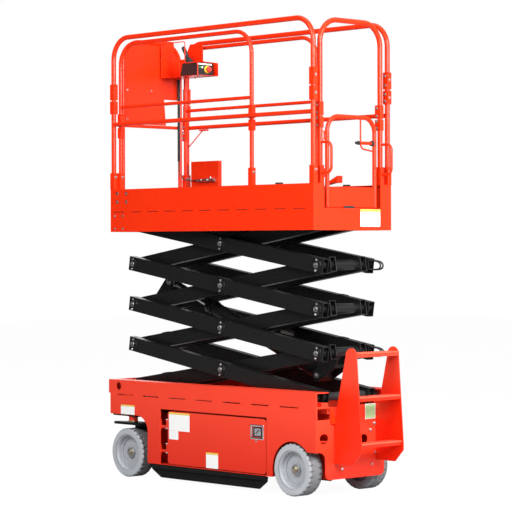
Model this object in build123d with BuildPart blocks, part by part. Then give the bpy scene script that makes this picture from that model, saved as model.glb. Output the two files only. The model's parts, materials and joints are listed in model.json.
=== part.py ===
"""Electric scissor lift: steerable chassis, four-stage scissor stack and railed platform with a
sliding extension deck.  Millimetres, +X towards the steered end, +Y left, +Z up, floor at z = 0."""
from build123d import *
import os
from math import asin, cos, hypot, sin

os.makedirs("parts", exist_ok=True)

# ------------------------------------------------------------------ driving sizes
nose_reach = 1161.0  # machine centre to the nose plate's face
ladder_reach = 1427.0  # machine centre to the ladder's rearmost edge
mid_x = (ladder_reach - nose_reach) / 2  # puts the middle of the whole length at x = 0
half_width = 405.0
sheet = 8.0  # side, nose and rear plates
liner = 6.0  # floors, bulkheads and inner walls
fit_gap = 0.05  # radial clearance of a pin in its bore
seat_gap = 0.3  # pieces that rest or run on one another

# wheels
wheel_radius = 190.5
wheel_width = 127.0
rim_radius = 143.0
front_axle_x = mid_x + 936.0
rear_axle_x = mid_x - 911.0
tyre_inner_y = half_width - wheel_width
tyre_mid_y = half_width - wheel_width / 2
spindle_radius = 24.0

# chassis
chassis_top = 756.0
chassis_floor = 126.0
band_low = 650.0  # underside of the top band
band_lip = 18.0  # the band stands this far ahead of the nose below it
nose_x = mid_x + nose_reach
lower_nose_x = nose_x - band_lip
body_rear_x = mid_x - 1154.0
shelf_z = 487.0  # roof of the front wheel bay
bay_front_x = mid_x + 690.0  # bulkhead behind the front wheels
bay_bend = 125.0
arch_radius = wheel_radius + 15.0
arch_rear_z = 328.0
slot_long = 190.0
slot_high = 8.0
slot_pitch = 307.0
slot_first_x = mid_x + 962.0
slot_count = 7
opening_front_x = mid_x + 541.0
opening_rear_x = mid_x - 645.0
opening_high_z = 553.0
door_front_x = mid_x + 452.0
door_gap = 6.0
door_corner = 28.0
hinge_heights = (233.0, 419.0)  # middles of the two hinge arms
hinge_arm_high = 20.0
hinge_axis_x = door_front_x + 18.0
hinge_axis_y = half_width - 12.0
hinge_radius = 10.0
hinge_pin_radius = 5.0
knuckle_high = 44.0
well_y = 240.0  # inner wall of the rear wheel wells
locker_y = 112.0  # inner wall of the side lockers
locker_rear_x = rear_axle_x + arch_radius + 12.0
tunnel_z = 600.0  # floor under the folded arms
tie_hole_x = mid_x + 1041.0
tie_hole_z = 707.0
tie_hole_radius = 31.0
nose_hole_y = 249.0
rear_corner = 45.0
rear_low_half = 305.0
window_inner_y = 259.0
window_low_z = 560.0
window_high_z = 641.0
oval_long = 88.0
oval_high = 70.0
oval_places = ((321.0, 424.0), (85.0, 400.0))  # out from the middle, height
notch_bend = 62.0

# pothole guards
guard_front_x = mid_x + 671.0
guard_rear_x = mid_x - 620.0
guard_low = 22.0
guard_hinge_z = 110.0
guard_hinge_y = 372.0
guard_thick = 10.0
guard_pin_radius = 9.0
guard_bracket_x = (guard_rear_x + 90, mid_x, guard_front_x - 130)

# steering
kingpin_y = tyre_mid_y  # no offset between kingpin and tyre
kingpin_radius = 18.0
yoke_low = 405.0
yoke_high = 424.0
housing_low = 430.0
housing_half = 36.0
lever_arm = 40.0
lever_low = shelf_z + liner + 8.0
lever_thick = 12.0
lever_tip_radius = 12.0
tie_rod_radius = 8.0

# scissor stack
stages = 4
arm_pitch = 2073.0  # pivot to pivot
stage_rise = 317.5  # at rest
arm_high = 110.0
arm_wide = 62.0
arm_wall = 6.0
arm_overhang = 57.0
outer_arm_y = 267.0  # outer face of the outer arms
arm_side_gap = 17.0
inner_arm_y = outer_arm_y - arm_wide - arm_side_gap
shaft_radius = 25.0
bush_radius = 37.0
boss_radius = 34.0
pin_head_radius = 38.0
pin_head_thick = 6.0
pin_nose_radius = 20.0
pin_nose_long = 14.0
base_pivot_x = mid_x + 1016.0
base_pivot_z = 714.0
arm_tilt = asin(stage_rise / arm_pitch)
arm_run = arm_pitch * cos(arm_tilt)
slide_end_x = base_pivot_x - arm_run
stack_mid_x = base_pivot_x - arm_run / 2
top_pivot_z = base_pivot_z + stages * stage_rise

# rollers and their channels
roller_radius = 32.0
roller_wide = 54.0
roller_inner_y = outer_arm_y + 13.0
channel_front_x = mid_x - 62.0
channel_inner_y = outer_arm_y + 5.0
channel_head_gap = 4.0
flange_inner_y = channel_inner_y + 30.0  # clear of the pin ends

# lift cylinder, from a lug on the first inner arms to a lug on the third
barrel_pin = (1846.0, -143.0)  # along and above the first inner arms, from their front pivot
rod_pin = (191.0, 148.0)  # along and above the third inner arms, from their front pivot
barrel_radius = 50.0
barrel_long = 1337.0
bore_start = 400.0
rod_radius = 27.0
rod_long = 1300.0
eye_radius = 40.0
rod_eye_wide = 56.0
barrel_eye_wide = 2 * barrel_radius
lug_thick = 12.0
lug_gap = 6.0
lug_brace_radius = 20.0
slider_tube_radius = 30.0
cylinder_pin_radius = 20.0

# platform
deck_reach = 1135.0  # machine centre to either end of the platform
deck_front_x = mid_x + deck_reach
deck_rear_x = mid_x - deck_reach
deck_top = 2078.0
deck_thick = 8.0
toe_top = 2255.0
skirt_low = 1920.0
toe_flange = 38.0
rail_radius = 19.0
rail_y = half_width - rail_radius
rail_top = 3446.0
mid_rail_z = 2768.0
post_reach = 1116.0
rail_bend = 170.0
socket_high = 130.0
socket_wide = 46.0
hoop_y = 313.0
hoop_x = mid_x - 1110.0
gate_post_y = 246.0
gate_x = mid_x - 1116.0
gate_top = 2757.0
gate_low = 2086.0
gate_hinge_y = 272.0
gate_hinge_heights = (2330.0, 2600.0)
gate_pin_radius = 4.0
entry_y = hoop_y - rail_radius  # half the gap in the rear skirt
fold_slot = 10.0
fold_inside = 22.0  # how far a fold joint stands in from a post's middle
main_fold = (2850.0, 3085.0)
hoop_fold = (2654.0, 2840.0)
handle_reach = 115.0
handle_low = 2330.0
handle_high = 2550.0
handle_radius = 10.0

# extension deck
ext_rear_x = mid_x - 470.0
ext_thick = 6.0
ext_toe_y = 372.0
ext_toe_top = 2240.0
ext_rail_radius = 16.0
ext_rail_y = 342.0
ext_rail_top = 3402.0
ext_mid_rail_z = 2905.0
ext_front_post_x = mid_x + 1083.0
ext_rear_post_x = mid_x - 428.0
front_hoop_x = mid_x + 1106.0
front_hoop_y = 300.0
ext_fold = (2660.0, 2850.0)
panel_low_z = 2780.0
panel_step_z = 2988.0
panel_step_y = -130.0
panel_thick = 3.0


# ------------------------------------------------------------------ shared operations
def keep(builder, label):
    """Label a finished piece and write its STEP file."""
    builder.part.label = label
    export_step(builder.part, f"parts/{label}.step")


def side_plane(y):
    """Plane seen from the right: local x is X, local y is Z, extrusions run towards -Y."""
    return Plane(origin=(0, y, 0), x_dir=(1, 0, 0), z_dir=(0, -1, 0))


def rear_plane(x):
    """Plane seen from the rear: local x is -Y, local y is Z, extrusions run towards -X."""
    return Plane(origin=(x, 0, 0), x_dir=(0, -1, 0), z_dir=(-1, 0, 0))


def block(x, y, z, mode=Mode.ADD):
    """Rectangular plate or bar between pairs of limits."""
    with Locations((min(x), min(y), min(z))):
        Box(abs(x[1] - x[0]), abs(y[1] - y[0]), abs(z[1] - z[0]), align=(Align.MIN,) * 3, mode=mode)


def cross_bar(x, z, radius, y, mode=Mode.ADD):
    """Round bar along Y between two limits."""
    with BuildSketch(side_plane(max(y))) as section:
        with Locations((x, z)):
            Circle(radius)
    extrude(section.sketch, amount=abs(y[1] - y[0]), mode=mode)


def upright(x, y, radius, z, mode=Mode.ADD):
    """Round bar along Z between two limits."""
    with BuildSketch(Plane.XY.offset(min(z))) as section:
        with Locations((x, y)):
            Circle(radius)
    extrude(section.sketch, amount=abs(z[1] - z[0]), mode=mode)


def tube(points, radius, bend):
    """Bent round tube through corner points."""
    with BuildLine() as path:
        FilletPolyline(*points, radius=bend)
    with BuildSketch(Plane(origin=path.line @ 0, z_dir=path.line % 0)) as section:
        Circle(radius)
    sweep(section.sketch, path=path.line)


def bar(start, end, radius):
    """Straight round tube."""
    with BuildLine() as path:
        Line(start, end)
    with BuildSketch(Plane(origin=path.line @ 0, z_dir=path.line % 0)) as section:
        Circle(radius)
    sweep(section.sketch, path=path.line)


def inner_point(stage, along, above):
    """X and Z of a point on an inner arm, measured from its front pivot."""
    x = base_pivot_x - along * cos(arm_tilt) + above * sin(arm_tilt)
    z = base_pivot_z + (stage - 1) * stage_rise + along * sin(arm_tilt) + above * cos(arm_tilt)
    return x, z


def fold_joint(x, y, span):
    """Two plates around a post, a slot apart, with the ears of the pin that the post folds on."""
    low, high = span
    split = low + 0.45 * (high - low)
    for z in ((low, split - fold_slot / 2), (split + fold_slot / 2, high)):
        block(x, y, z)
    middle = (x[0] + x[1]) / 2
    for ear in (split - 30, split + 30):
        block((middle - 10, middle + 10), y, (ear - 12, ear + 12))


# ------------------------------------------------------------------ chassis
side_outline = [
    (nose_x, chassis_top),
    (nose_x, band_low),
    (lower_nose_x, band_low),
    (lower_nose_x, shelf_z),
    (bay_front_x, shelf_z),
    (bay_front_x, chassis_floor),
    (body_rear_x, chassis_floor),
    (body_rear_x, chassis_top),
]
nose_outline = [
    (nose_x - sheet, chassis_top),
    (nose_x, chassis_top),
    (nose_x, band_low),
    (lower_nose_x, band_low),
    (lower_nose_x, shelf_z),
    (lower_nose_x - sheet, shelf_z),
    (lower_nose_x - sheet, band_low + sheet),
    (nose_x - sheet, band_low + sheet),
]
inner_y = half_width - sheet  # inner faces of the side walls
rear_inner_x = body_rear_x + sheet
well_top = 2 * wheel_radius + 15.0 + 4.0

with BuildPart() as side_walls:
    for side in (1, -1):
        y_face = max(side * half_width, side * inner_y)
        with BuildSketch(side_plane(y_face)) as side_wall:
            with BuildLine():
                Polyline(*side_outline, close=True)
            make_face()
            fillet(side_wall.vertices().sort_by_distance((bay_front_x, shelf_z))[0], bay_bend)
            # wheel arch: round over the tyre, open to the rear corner
            with Locations((rear_axle_x, wheel_radius)):
                Circle(arch_radius, mode=Mode.SUBTRACT)
                Rectangle(arch_radius, wheel_radius, align=(Align.MIN, Align.MAX), mode=Mode.SUBTRACT)
            with Locations((body_rear_x, arch_rear_z)):
                Rectangle(rear_axle_x - body_rear_x, arch_rear_z, align=(Align.MIN, Align.MAX),
                          mode=Mode.SUBTRACT)
            # locker opening, slot row under the band, tie-down hole
            with Locations(((opening_front_x + opening_rear_x) / 2, chassis_floor + liner)):
                Rectangle(opening_front_x - opening_rear_x, opening_high_z - chassis_floor - liner,
                          align=(Align.CENTER, Align.MIN), mode=Mode.SUBTRACT)
            for count in range(slot_count):
                with Locations((slot_first_x - count * slot_pitch, band_low - slot_high)):
                    Rectangle(slot_long, slot_high, mode=Mode.SUBTRACT)
            with Locations((tie_hole_x, tie_hole_z)):
                Circle(tie_hole_radius, mode=Mode.SUBTRACT)
        extrude(side_wall.sketch, amount=sheet)
        # gooseneck hinge arms that reach across the gap ahead of the door
        for z in hinge_heights:
            arm = (z - hinge_arm_high / 2, z + hinge_arm_high / 2)
            block((hinge_axis_x, opening_front_x), (side * (hinge_axis_y - 8), side * (hinge_axis_y + 4)),
                  arm)
            upright(hinge_axis_x, side * hinge_axis_y, hinge_radius, arm)
            upright(hinge_axis_x, side * hinge_axis_y, hinge_pin_radius,
                    (arm[1], arm[1] + knuckle_high + 4))
            block((opening_front_x, opening_front_x + 40), (side * (hinge_axis_y - 8), side * inner_y),
                  (z - 30, z + 50))
    # seamed at both ends of the locker opening, so that every sheet of the wall is a simple one
    for x in (opening_front_x, opening_rear_x):
        split(bisect_by=Plane.YZ.offset(x), keep=Keep.BOTH)
keep(side_walls, "side_walls")

with BuildPart() as end_plates:
    with BuildSketch(side_plane(inner_y)) as nose:
        with BuildLine():
            Polyline(*nose_outline, close=True)
        make_face()
    extrude(nose.sketch, amount=2 * inner_y)
    with BuildSketch(rear_plane(nose_x)) as nose_holes:
        with Locations((-nose_hole_y, tie_hole_z), (nose_hole_y, tie_hole_z)):
            Circle(tie_hole_radius)
    extrude(nose_holes.sketch, amount=sheet, mode=Mode.SUBTRACT)
    # rear plate with its wheel notches, corner windows and round-ended holes
    with BuildSketch(rear_plane(rear_inner_x)) as rear_plate:
        with Locations((0, arch_rear_z)):
            Rectangle(2 * inner_y, band_low - arch_rear_z, align=(Align.CENTER, Align.MIN))
        with Locations((0, chassis_floor)):
            Rectangle(2 * rear_low_half, arch_rear_z - chassis_floor, align=(Align.CENTER, Align.MIN))
        fillet(rear_plate.vertices().group_by(Axis.Y)[0], rear_corner)
        for side in (1, -1):
            fillet(rear_plate.vertices().sort_by_distance((side * rear_low_half, arch_rear_z))[0],
                   notch_bend)
        for side in (1, -1):
            with Locations((side * (window_inner_y + inner_y - sheet) / 2,
                            (window_low_z + window_high_z) / 2)):
                Rectangle(inner_y - sheet - window_inner_y, window_high_z - window_low_z,
                          mode=Mode.SUBTRACT)
            with Locations(*[(side * out, high) for out, high in oval_places]):
                SlotOverall(oval_long, oval_high, mode=Mode.SUBTRACT)
    extrude(rear_plate.sketch, amount=sheet)
keep(end_plates, "end_plates")

# bent sheet over and behind the front wheels, floor pan, rear bulkhead and what is welded to them
collar_radius = 36.0
with BuildPart() as wheel_bay:
    with BuildSketch(side_plane(inner_y)) as bay_sheet:
        with BuildLine():
            under = FilletPolyline((lower_nose_x - sheet, shelf_z), (bay_front_x, shelf_z),
                                   (bay_front_x, chassis_floor), radius=bay_bend)
            over = FilletPolyline((lower_nose_x - sheet, shelf_z + liner),
                                  (bay_front_x - liner, shelf_z + liner),
                                  (bay_front_x - liner, chassis_floor), radius=bay_bend)
            Line(under @ 0, over @ 0)
            Line(under @ 1, over @ 1)
        make_face()
        with Locations((bay_front_x - liner, chassis_floor)):
            Rectangle(bay_front_x - liner - locker_rear_x, liner, align=(Align.MAX, Align.MIN))
        with Locations((locker_rear_x, chassis_floor)):
            Rectangle(liner, tunnel_z - chassis_floor, align=(Align.MIN, Align.MIN))
    extrude(bay_sheet.sketch, amount=2 * inner_y)
    for side in (1, -1):
        upright(front_axle_x, side * kingpin_y, collar_radius, (housing_low, shelf_z))
        upright(front_axle_x, side * kingpin_y, kingpin_radius + fit_gap, (housing_low, shelf_z + liner),
                mode=Mode.SUBTRACT)
        for x in guard_bracket_x:
            block((x - 20, x + 20), (side * (guard_hinge_y - 12), side * (guard_hinge_y + 12)),
                  (guard_hinge_z - 12, chassis_floor))
            with BuildSketch(Plane(origin=(x - 20, 0, 0), x_dir=(0, 1, 0), z_dir=(1, 0, 0))) as pin_bore:
                with Locations((side * guard_hinge_y, guard_hinge_z)):
                    Circle(guard_pin_radius + fit_gap)
            extrude(pin_bore.sketch, amount=40, mode=Mode.SUBTRACT)
keep(wheel_bay, "wheel_bay")

# channel that the folded arms lie in
tunnel_wall = (channel_inner_y, channel_inner_y + liner)
with BuildPart() as arm_tunnel:
    block((rear_inner_x, lower_nose_x - sheet), (-tunnel_wall[1], tunnel_wall[1]),
          (tunnel_z, tunnel_z + liner))
    for side in (1, -1):
        block((rear_inner_x, channel_front_x), (side * tunnel_wall[0], side * tunnel_wall[1]),
              (tunnel_z + liner, band_low))
keep(arm_tunnel, "arm_tunnel")

# inner walls of the side lockers and rear wheel wells, and flanges over the front half of the walls
with BuildPart() as inner_walls:
    for side in (1, -1):
        block((locker_rear_x + liner, bay_front_x - liner), (side * locker_y, side * (locker_y + liner)),
              (chassis_floor + liner, tunnel_z))
        block((rear_inner_x, locker_rear_x), (side * well_y, side * (well_y + liner)),
              (chassis_floor, tunnel_z))
        block((rear_inner_x, locker_rear_x), (side * (well_y + liner), side * inner_y),
              (well_top, well_top + liner))
        block((channel_front_x, nose_x - sheet), (side * flange_inner_y, side * inner_y),
              (chassis_top - liner, chassis_top))
keep(inner_walls, "inner_walls")

wear_bar_wide = 64.0
with BuildPart() as slide_channels:
    for side in (1, -1):
        web = (side * (inner_y - liner), side * inner_y)
        flange = (side * channel_inner_y, side * (inner_y - liner))
        length = (body_rear_x, channel_front_x)
        block(length, web, (band_low, chassis_top))
        block(length, flange, (band_low, band_low + liner))
        block(length, flange, (chassis_top - liner, chassis_top))
        block((rear_inner_x, channel_front_x), (side * channel_inner_y,
                                                side * (channel_inner_y + wear_bar_wide)),
              (band_low + liner, base_pivot_z - roller_radius - seat_gap))
keep(slide_channels, "slide_channels")

# ladder on the rear plate
ladder_y = 222.0
ladder_sheet = 8.0
ladder_top_z = 1022.0
ladder_top_radius = 54.0
ladder_top_x = mid_x - 1327.0
steps = [(1384.0, 1043.0), (1401.0, 729.0), (1410.0, 397.0)]  # reach behind the middle, top face
step_deep = 95.0
step_lip = 32.0
with BuildPart() as ladder:
    for y_face in (ladder_y, ladder_sheet - ladder_y):
        with BuildSketch(side_plane(y_face)):
            with BuildLine():
                Polyline((body_rear_x, 508), (body_rear_x, 242), (mid_x - 1345, 242),
                         (mid_x - ladder_reach, 330), (mid_x - ladder_reach, 372),
                         (ladder_top_x - ladder_top_radius, ladder_top_z))
                RadiusArc((ladder_top_x - ladder_top_radius, ladder_top_z),
                          (ladder_top_x + ladder_top_radius, ladder_top_z), ladder_top_radius)
                Line((ladder_top_x + ladder_top_radius, ladder_top_z), (body_rear_x, 508))
            make_face()
        extrude(amount=ladder_sheet)
    for reach, top in steps:
        inner = (ladder_sheet - ladder_y, ladder_y - ladder_sheet)
        edge = mid_x - reach
        block((edge, edge + step_deep), inner, (top - 4, top))
        block((edge, edge + 4), inner, (top - step_lip, top - 4))
        block((edge + step_deep - 4, edge + step_deep), inner, (top - step_lip, top - 4))
keep(ladder, "ladder")

# heavy blocks in the side lockers: batteries on the left, power pack on the right
with BuildPart() as battery_pack:
    block((mid_x - 560, mid_x + 300), (locker_y + 20, half_width - 40), (chassis_floor + liner, 430))
keep(battery_pack, "battery_pack")
with BuildPart() as power_pack:
    block((mid_x - 500, mid_x + 100), (40 - half_width, -locker_y - 20), (chassis_floor + liner, 450))
keep(power_pack, "power_pack")

# rear stub axles on the well walls
hub_flange_radius = 62.0
with BuildPart() as rear_axle:
    for side in (1, -1):
        cross_bar(rear_axle_x, wheel_radius, hub_flange_radius,
                  (side * (well_y + liner), side * (tyre_inner_y - 6)))
        cross_bar(rear_axle_x, wheel_radius, spindle_radius,
                  (side * (tyre_inner_y - 6), side * (tyre_inner_y + 62)))
keep(rear_axle, "rear_axle")

# steering: black plates under the shelf, knuckles over the tyres, one tie rod
steer_plate_reach = (-120.0, 205.0)  # behind and ahead of the kingpin
steer_plate_half = 46.0
steer_plate_thick = 13.0


def steer_outline(plate, wide):
    """Long plate around a kingpin, narrower towards the front."""
    rear, front = (front_axle_x + reach for reach in steer_plate_reach)
    low, high = wide
    with BuildSketch(plate) as outline:
        with BuildLine():
            Polyline((rear, low + 15), (rear + 20, low), (front_axle_x + 70, low), (front, high - 46),
                     (front, high - 10), (front - 12, high), (rear, high), close=True)
        make_face()
    return outline.sketch


with BuildPart() as steering_plates:
    for side in (1, -1):
        wide = (kingpin_y - steer_plate_half, kingpin_y + steer_plate_half)
        plate = steer_outline(Plane.XY.offset(shelf_z - steer_plate_thick), wide)
        extrude(plate if side > 0 else mirror(plate, about=Plane.XZ, mode=Mode.PRIVATE),
                amount=steer_plate_thick)
        upright(front_axle_x, side * kingpin_y, collar_radius + fit_gap,
                (shelf_z - steer_plate_thick, shelf_z),
                mode=Mode.SUBTRACT)
keep(steering_plates, "steering_plates")

knuckle_wall = (246.0, 262.0)
for name, side in (("left", 1), ("right", -1)):
    with BuildPart() as knuckle:
        wall = (side * knuckle_wall[0], side * knuckle_wall[1])
        # long plate over the tyre, upright web inside it, motor and spindle
        yoke = steer_outline(Plane.XY.offset(yoke_low), (knuckle_wall[0], kingpin_y + housing_half))
        extrude(yoke if side > 0 else mirror(yoke, about=Plane.XZ, mode=Mode.PRIVATE),
                amount=yoke_high - yoke_low)
        with BuildSketch(side_plane(max(wall))) as web:
            with Locations((front_axle_x, yoke_low - 5)):
                Rectangle(150, 10)
            with Locations((front_axle_x, wheel_radius)):
                Circle(70)
            make_hull()
        extrude(web.sketch, amount=knuckle_wall[1] - knuckle_wall[0])
        cross_bar(front_axle_x, wheel_radius, 50, (side * 150.0, side * knuckle_wall[0]))
        cross_bar(front_axle_x, wheel_radius, spindle_radius,
                  (side * knuckle_wall[1], side * (tyre_inner_y + 62)))
        # kingpin and steering lever
        upright(front_axle_x, side * kingpin_y, kingpin_radius, (yoke_high, lever_low))
        with BuildSketch(Plane.XY.offset(lever_low)) as lever:
            with Locations((front_axle_x, side * kingpin_y)):
                Circle(26)
            with Locations((front_axle_x - lever_arm, side * kingpin_y)):
                Circle(lever_tip_radius)
            make_hull()
        extrude(lever.sketch, amount=lever_thick)
    keep(knuckle, f"knuckle_{name}")

tie_rod_z = lever_low + lever_thick + 1 + tie_rod_radius
with BuildPart() as tie_rod:
    cross_bar(front_axle_x - lever_arm, tie_rod_z, tie_rod_radius, (-kingpin_y, kingpin_y))
    for side in (1, -1):
        upright(front_axle_x - lever_arm, side * kingpin_y, lever_tip_radius,
                (lever_low + lever_thick + seat_gap, tie_rod_z + tie_rod_radius))
keep(tie_rod, "tie_rod")

# brackets that carry the front pivots of the first inner arms
base_lug_y = inner_arm_y + 5.0
base_lug_thick = 10.0
base_foot_z = tunnel_z + liner
with BuildPart() as base_pivots:
    for side in (1, -1):
        with BuildSketch(side_plane(max(side * base_lug_y, side * (base_lug_y + base_lug_thick)))):
            with Locations((base_pivot_x, base_pivot_z)):
                Circle(42)
            with Locations((base_pivot_x, base_foot_z + 5)):
                Rectangle(130, 10)
            make_hull()
        extrude(amount=base_lug_thick)
    cross_bar(base_pivot_x, base_pivot_z, shaft_radius, (-base_lug_y, base_lug_y))
keep(base_pivots, "base_pivots")

# ------------------------------------------------------------------ wheels
corners = [
    ("front_left", front_axle_x, 1),
    ("front_right", front_axle_x, -1),
    ("rear_left", rear_axle_x, 1),
    ("rear_right", rear_axle_x, -1),
]
groove_count = 28
groove_step = 360 / groove_count
groove_wide = 14.0
groove_high = 7.0
groove_deep = 42.0
dish_step = 112.0
for name, axle_x, side in corners:
    hub = Plane(origin=(axle_x, side * half_width, wheel_radius), x_dir=(1, 0, 0), z_dir=(0, side, 0))
    with BuildPart() as tyre:
        with BuildSketch(hub.offset(-wheel_width)):
            Circle(wheel_radius)
            Circle(rim_radius, mode=Mode.SUBTRACT)
        extrude(amount=wheel_width)
        chamfer(tyre.edges().filter_by(GeomType.CIRCLE).sort_by(SortBy.RADIUS)[-2:], 8)
        # grooves across the edges of the tread leave a row of lugs on each
        for row, turn in ((0, 0), (1, groove_step / 2)):
            with BuildSketch(hub.offset(-row * (wheel_width - groove_deep))) as grooves:
                with PolarLocations(wheel_radius - groove_high / 2 + 1, groove_count, start_angle=turn):
                    Rectangle(groove_high + 2, groove_wide)
            extrude(grooves.sketch, amount=-groove_deep, mode=Mode.SUBTRACT)
    keep(tyre, f"tyre_{name}")
    with BuildPart() as rim:
        # barrel, dished disc, hub drum and nut, from the inner side outwards
        with BuildSketch(hub.offset(-wheel_width)):
            Circle(rim_radius)
            Circle(rim_radius - 10, mode=Mode.SUBTRACT)
        extrude(amount=wheel_width - 6)
        with BuildSketch(hub.offset(-70)):
            Circle(rim_radius - 10)
        extrude(amount=12)
        with BuildSketch(hub.offset(-58)):
            Circle(rim_radius - 10)
            Circle(dish_step, mode=Mode.SUBTRACT)
        extrude(amount=12)
        with BuildSketch(hub.offset(-wheel_width + 4)):
            Circle(60)
        extrude(amount=wheel_width - 4 - 64)
        with BuildSketch(hub.offset(-58)):
            Circle(38)
        extrude(amount=24)
        with BuildSketch(hub.offset(-34)):
            RegularPolygon(19, 6)
        extrude(amount=18)
        with BuildSketch(hub.offset(-wheel_width)):
            Circle(spindle_radius + fit_gap)
        extrude(amount=62 + seat_gap, mode=Mode.SUBTRACT)
    keep(rim, f"rim_{name}")

# ------------------------------------------------------------------ pothole guards
for name, side in (("left", 1), ("right", -1)):
    with BuildPart() as guard:
        with BuildSketch(side_plane(side * guard_hinge_y + guard_thick / 2)):
            with BuildLine():
                Polyline((guard_rear_x, guard_hinge_z), (guard_front_x, guard_hinge_z),
                         (guard_front_x, guard_low + 60), (guard_front_x - 109, guard_low),
                         (guard_rear_x + 83, guard_low), (guard_rear_x, guard_low + 60), close=True)
            make_face()
        extrude(amount=guard_thick)
        for x in guard_bracket_x:
            block((x - 25, x + 25), (side * guard_hinge_y - 20, side * guard_hinge_y + 20),
                  (guard_hinge_z - 20, guard_hinge_z + 20), mode=Mode.SUBTRACT)
        bar((guard_rear_x, side * guard_hinge_y, guard_hinge_z),
            (guard_front_x, side * guard_hinge_y, guard_hinge_z), guard_pin_radius)
    keep(guard, f"pothole_guard_{name}")

# ------------------------------------------------------------------ locker doors
door_low_z = chassis_floor + liner + door_gap
door_rear_x = opening_rear_x + door_gap
door_high_z = opening_high_z - 2 * door_gap
latch_mid_x = mid_x - 544.0
latch_mid_z = 442.0
latch_long = 140.0
latch_high = 108.0
latch_border = 15.0
latch_deep = 12.0
latch_back = 14.0  # housing behind the door
for name, side in (("left", 1), ("right", -1)):
    with BuildPart() as door:
        with BuildSketch(side_plane(max(side * half_width, side * inner_y))) as panel:
            with Locations(((door_front_x + door_rear_x) / 2, (door_low_z + door_high_z) / 2)):
                RectangleRounded(door_front_x - door_rear_x, door_high_z - door_low_z, door_corner)
        extrude(panel.sketch, amount=sheet)
        for z in hinge_heights:
            low = z + hinge_arm_high / 2 + seat_gap
            block((door_front_x - 40, hinge_axis_x), (side * (hinge_axis_y - 4), side * inner_y),
                  (low, low + knuckle_high))
            upright(hinge_axis_x, side * hinge_axis_y, hinge_radius, (low, low + knuckle_high))
            upright(hinge_axis_x, side * hinge_axis_y, hinge_pin_radius + fit_gap,
                    (low, low + knuckle_high),
                    mode=Mode.SUBTRACT)
        # latch: housing behind the panel, dish and paddle
        latch_x = (latch_mid_x - latch_long / 2, latch_mid_x + latch_long / 2)
        latch_z = (latch_mid_z - latch_high / 2, latch_mid_z + latch_high / 2)
        block(latch_x, (side * (inner_y - latch_back), side * inner_y), latch_z)
        block((latch_x[0] + latch_border, latch_x[1] - latch_border),
              (side * (half_width - latch_deep), side * half_width),
              (latch_z[0] + latch_border, latch_z[1] - latch_border), mode=Mode.SUBTRACT)
        block((latch_mid_x - 34, latch_mid_x + 24), (side * (half_width - latch_deep),
                                                     side * (half_width - 3)),
              (latch_mid_z - 26, latch_mid_z + 26))
    keep(door, f"door_{name}")

# ------------------------------------------------------------------ scissor arms


def arm_plane(stage, tilt, y):
    """Plane with its origin at a stage's centre pivot and its local x along the arm."""
    z = base_pivot_z + (stage - 0.5) * stage_rise
    return Plane(origin=(stack_mid_x, y, z), x_dir=(cos(tilt), 0, sin(tilt)), z_dir=(0, -1, 0))


def arm_pair(stage, tilt, outer_face, bore_radius):
    """Two hollow beams with bosses at their three pivots."""
    for y_face in (outer_face, arm_wide - outer_face):
        plane = arm_plane(stage, tilt, y_face)
        with BuildSketch(plane) as beam:
            Rectangle(arm_pitch + 2 * arm_overhang, arm_high)
        extrude(beam.sketch, amount=arm_wide)
        with BuildSketch(plane.offset(arm_wall)) as hollow:
            Rectangle(arm_pitch + 2 * arm_overhang + 2, arm_high - 2 * arm_wall)
        extrude(hollow.sketch, amount=arm_wide - 2 * arm_wall, mode=Mode.SUBTRACT)
        with BuildSketch(plane) as bosses:
            with Locations((-arm_pitch / 2, 0), (0, 0), (arm_pitch / 2, 0)):
                Circle(boss_radius)
        extrude(bosses.sketch, amount=arm_wide)
        with BuildSketch(plane) as bores:
            with Locations((-arm_pitch / 2, 0), (0, 0), (arm_pitch / 2, 0)):
                Circle(bore_radius)
        extrude(bores.sketch, amount=arm_wide, mode=Mode.SUBTRACT)


def lug_outline(rounds):
    """Outline wrapped around circles given as x, z, radius."""
    with BuildSketch() as outline:
        for x, z, radius in rounds:
            with Locations((x, z)):
                Circle(radius)
        make_hull()
    return outline.sketch


def add_lugs(outline, tube_round, inner_face):
    """Two plates of one outline either side of the middle, cut to sit on a cross tube."""
    x, z, radius = tube_round
    for y_face in (inner_face + lug_thick, -inner_face):
        with BuildSketch(side_plane(y_face)) as lug:
            add(outline)
            with Locations((x, z)):
                Circle(radius, mode=Mode.SUBTRACT)
        extrude(lug.sketch, amount=lug_thick)


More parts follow.
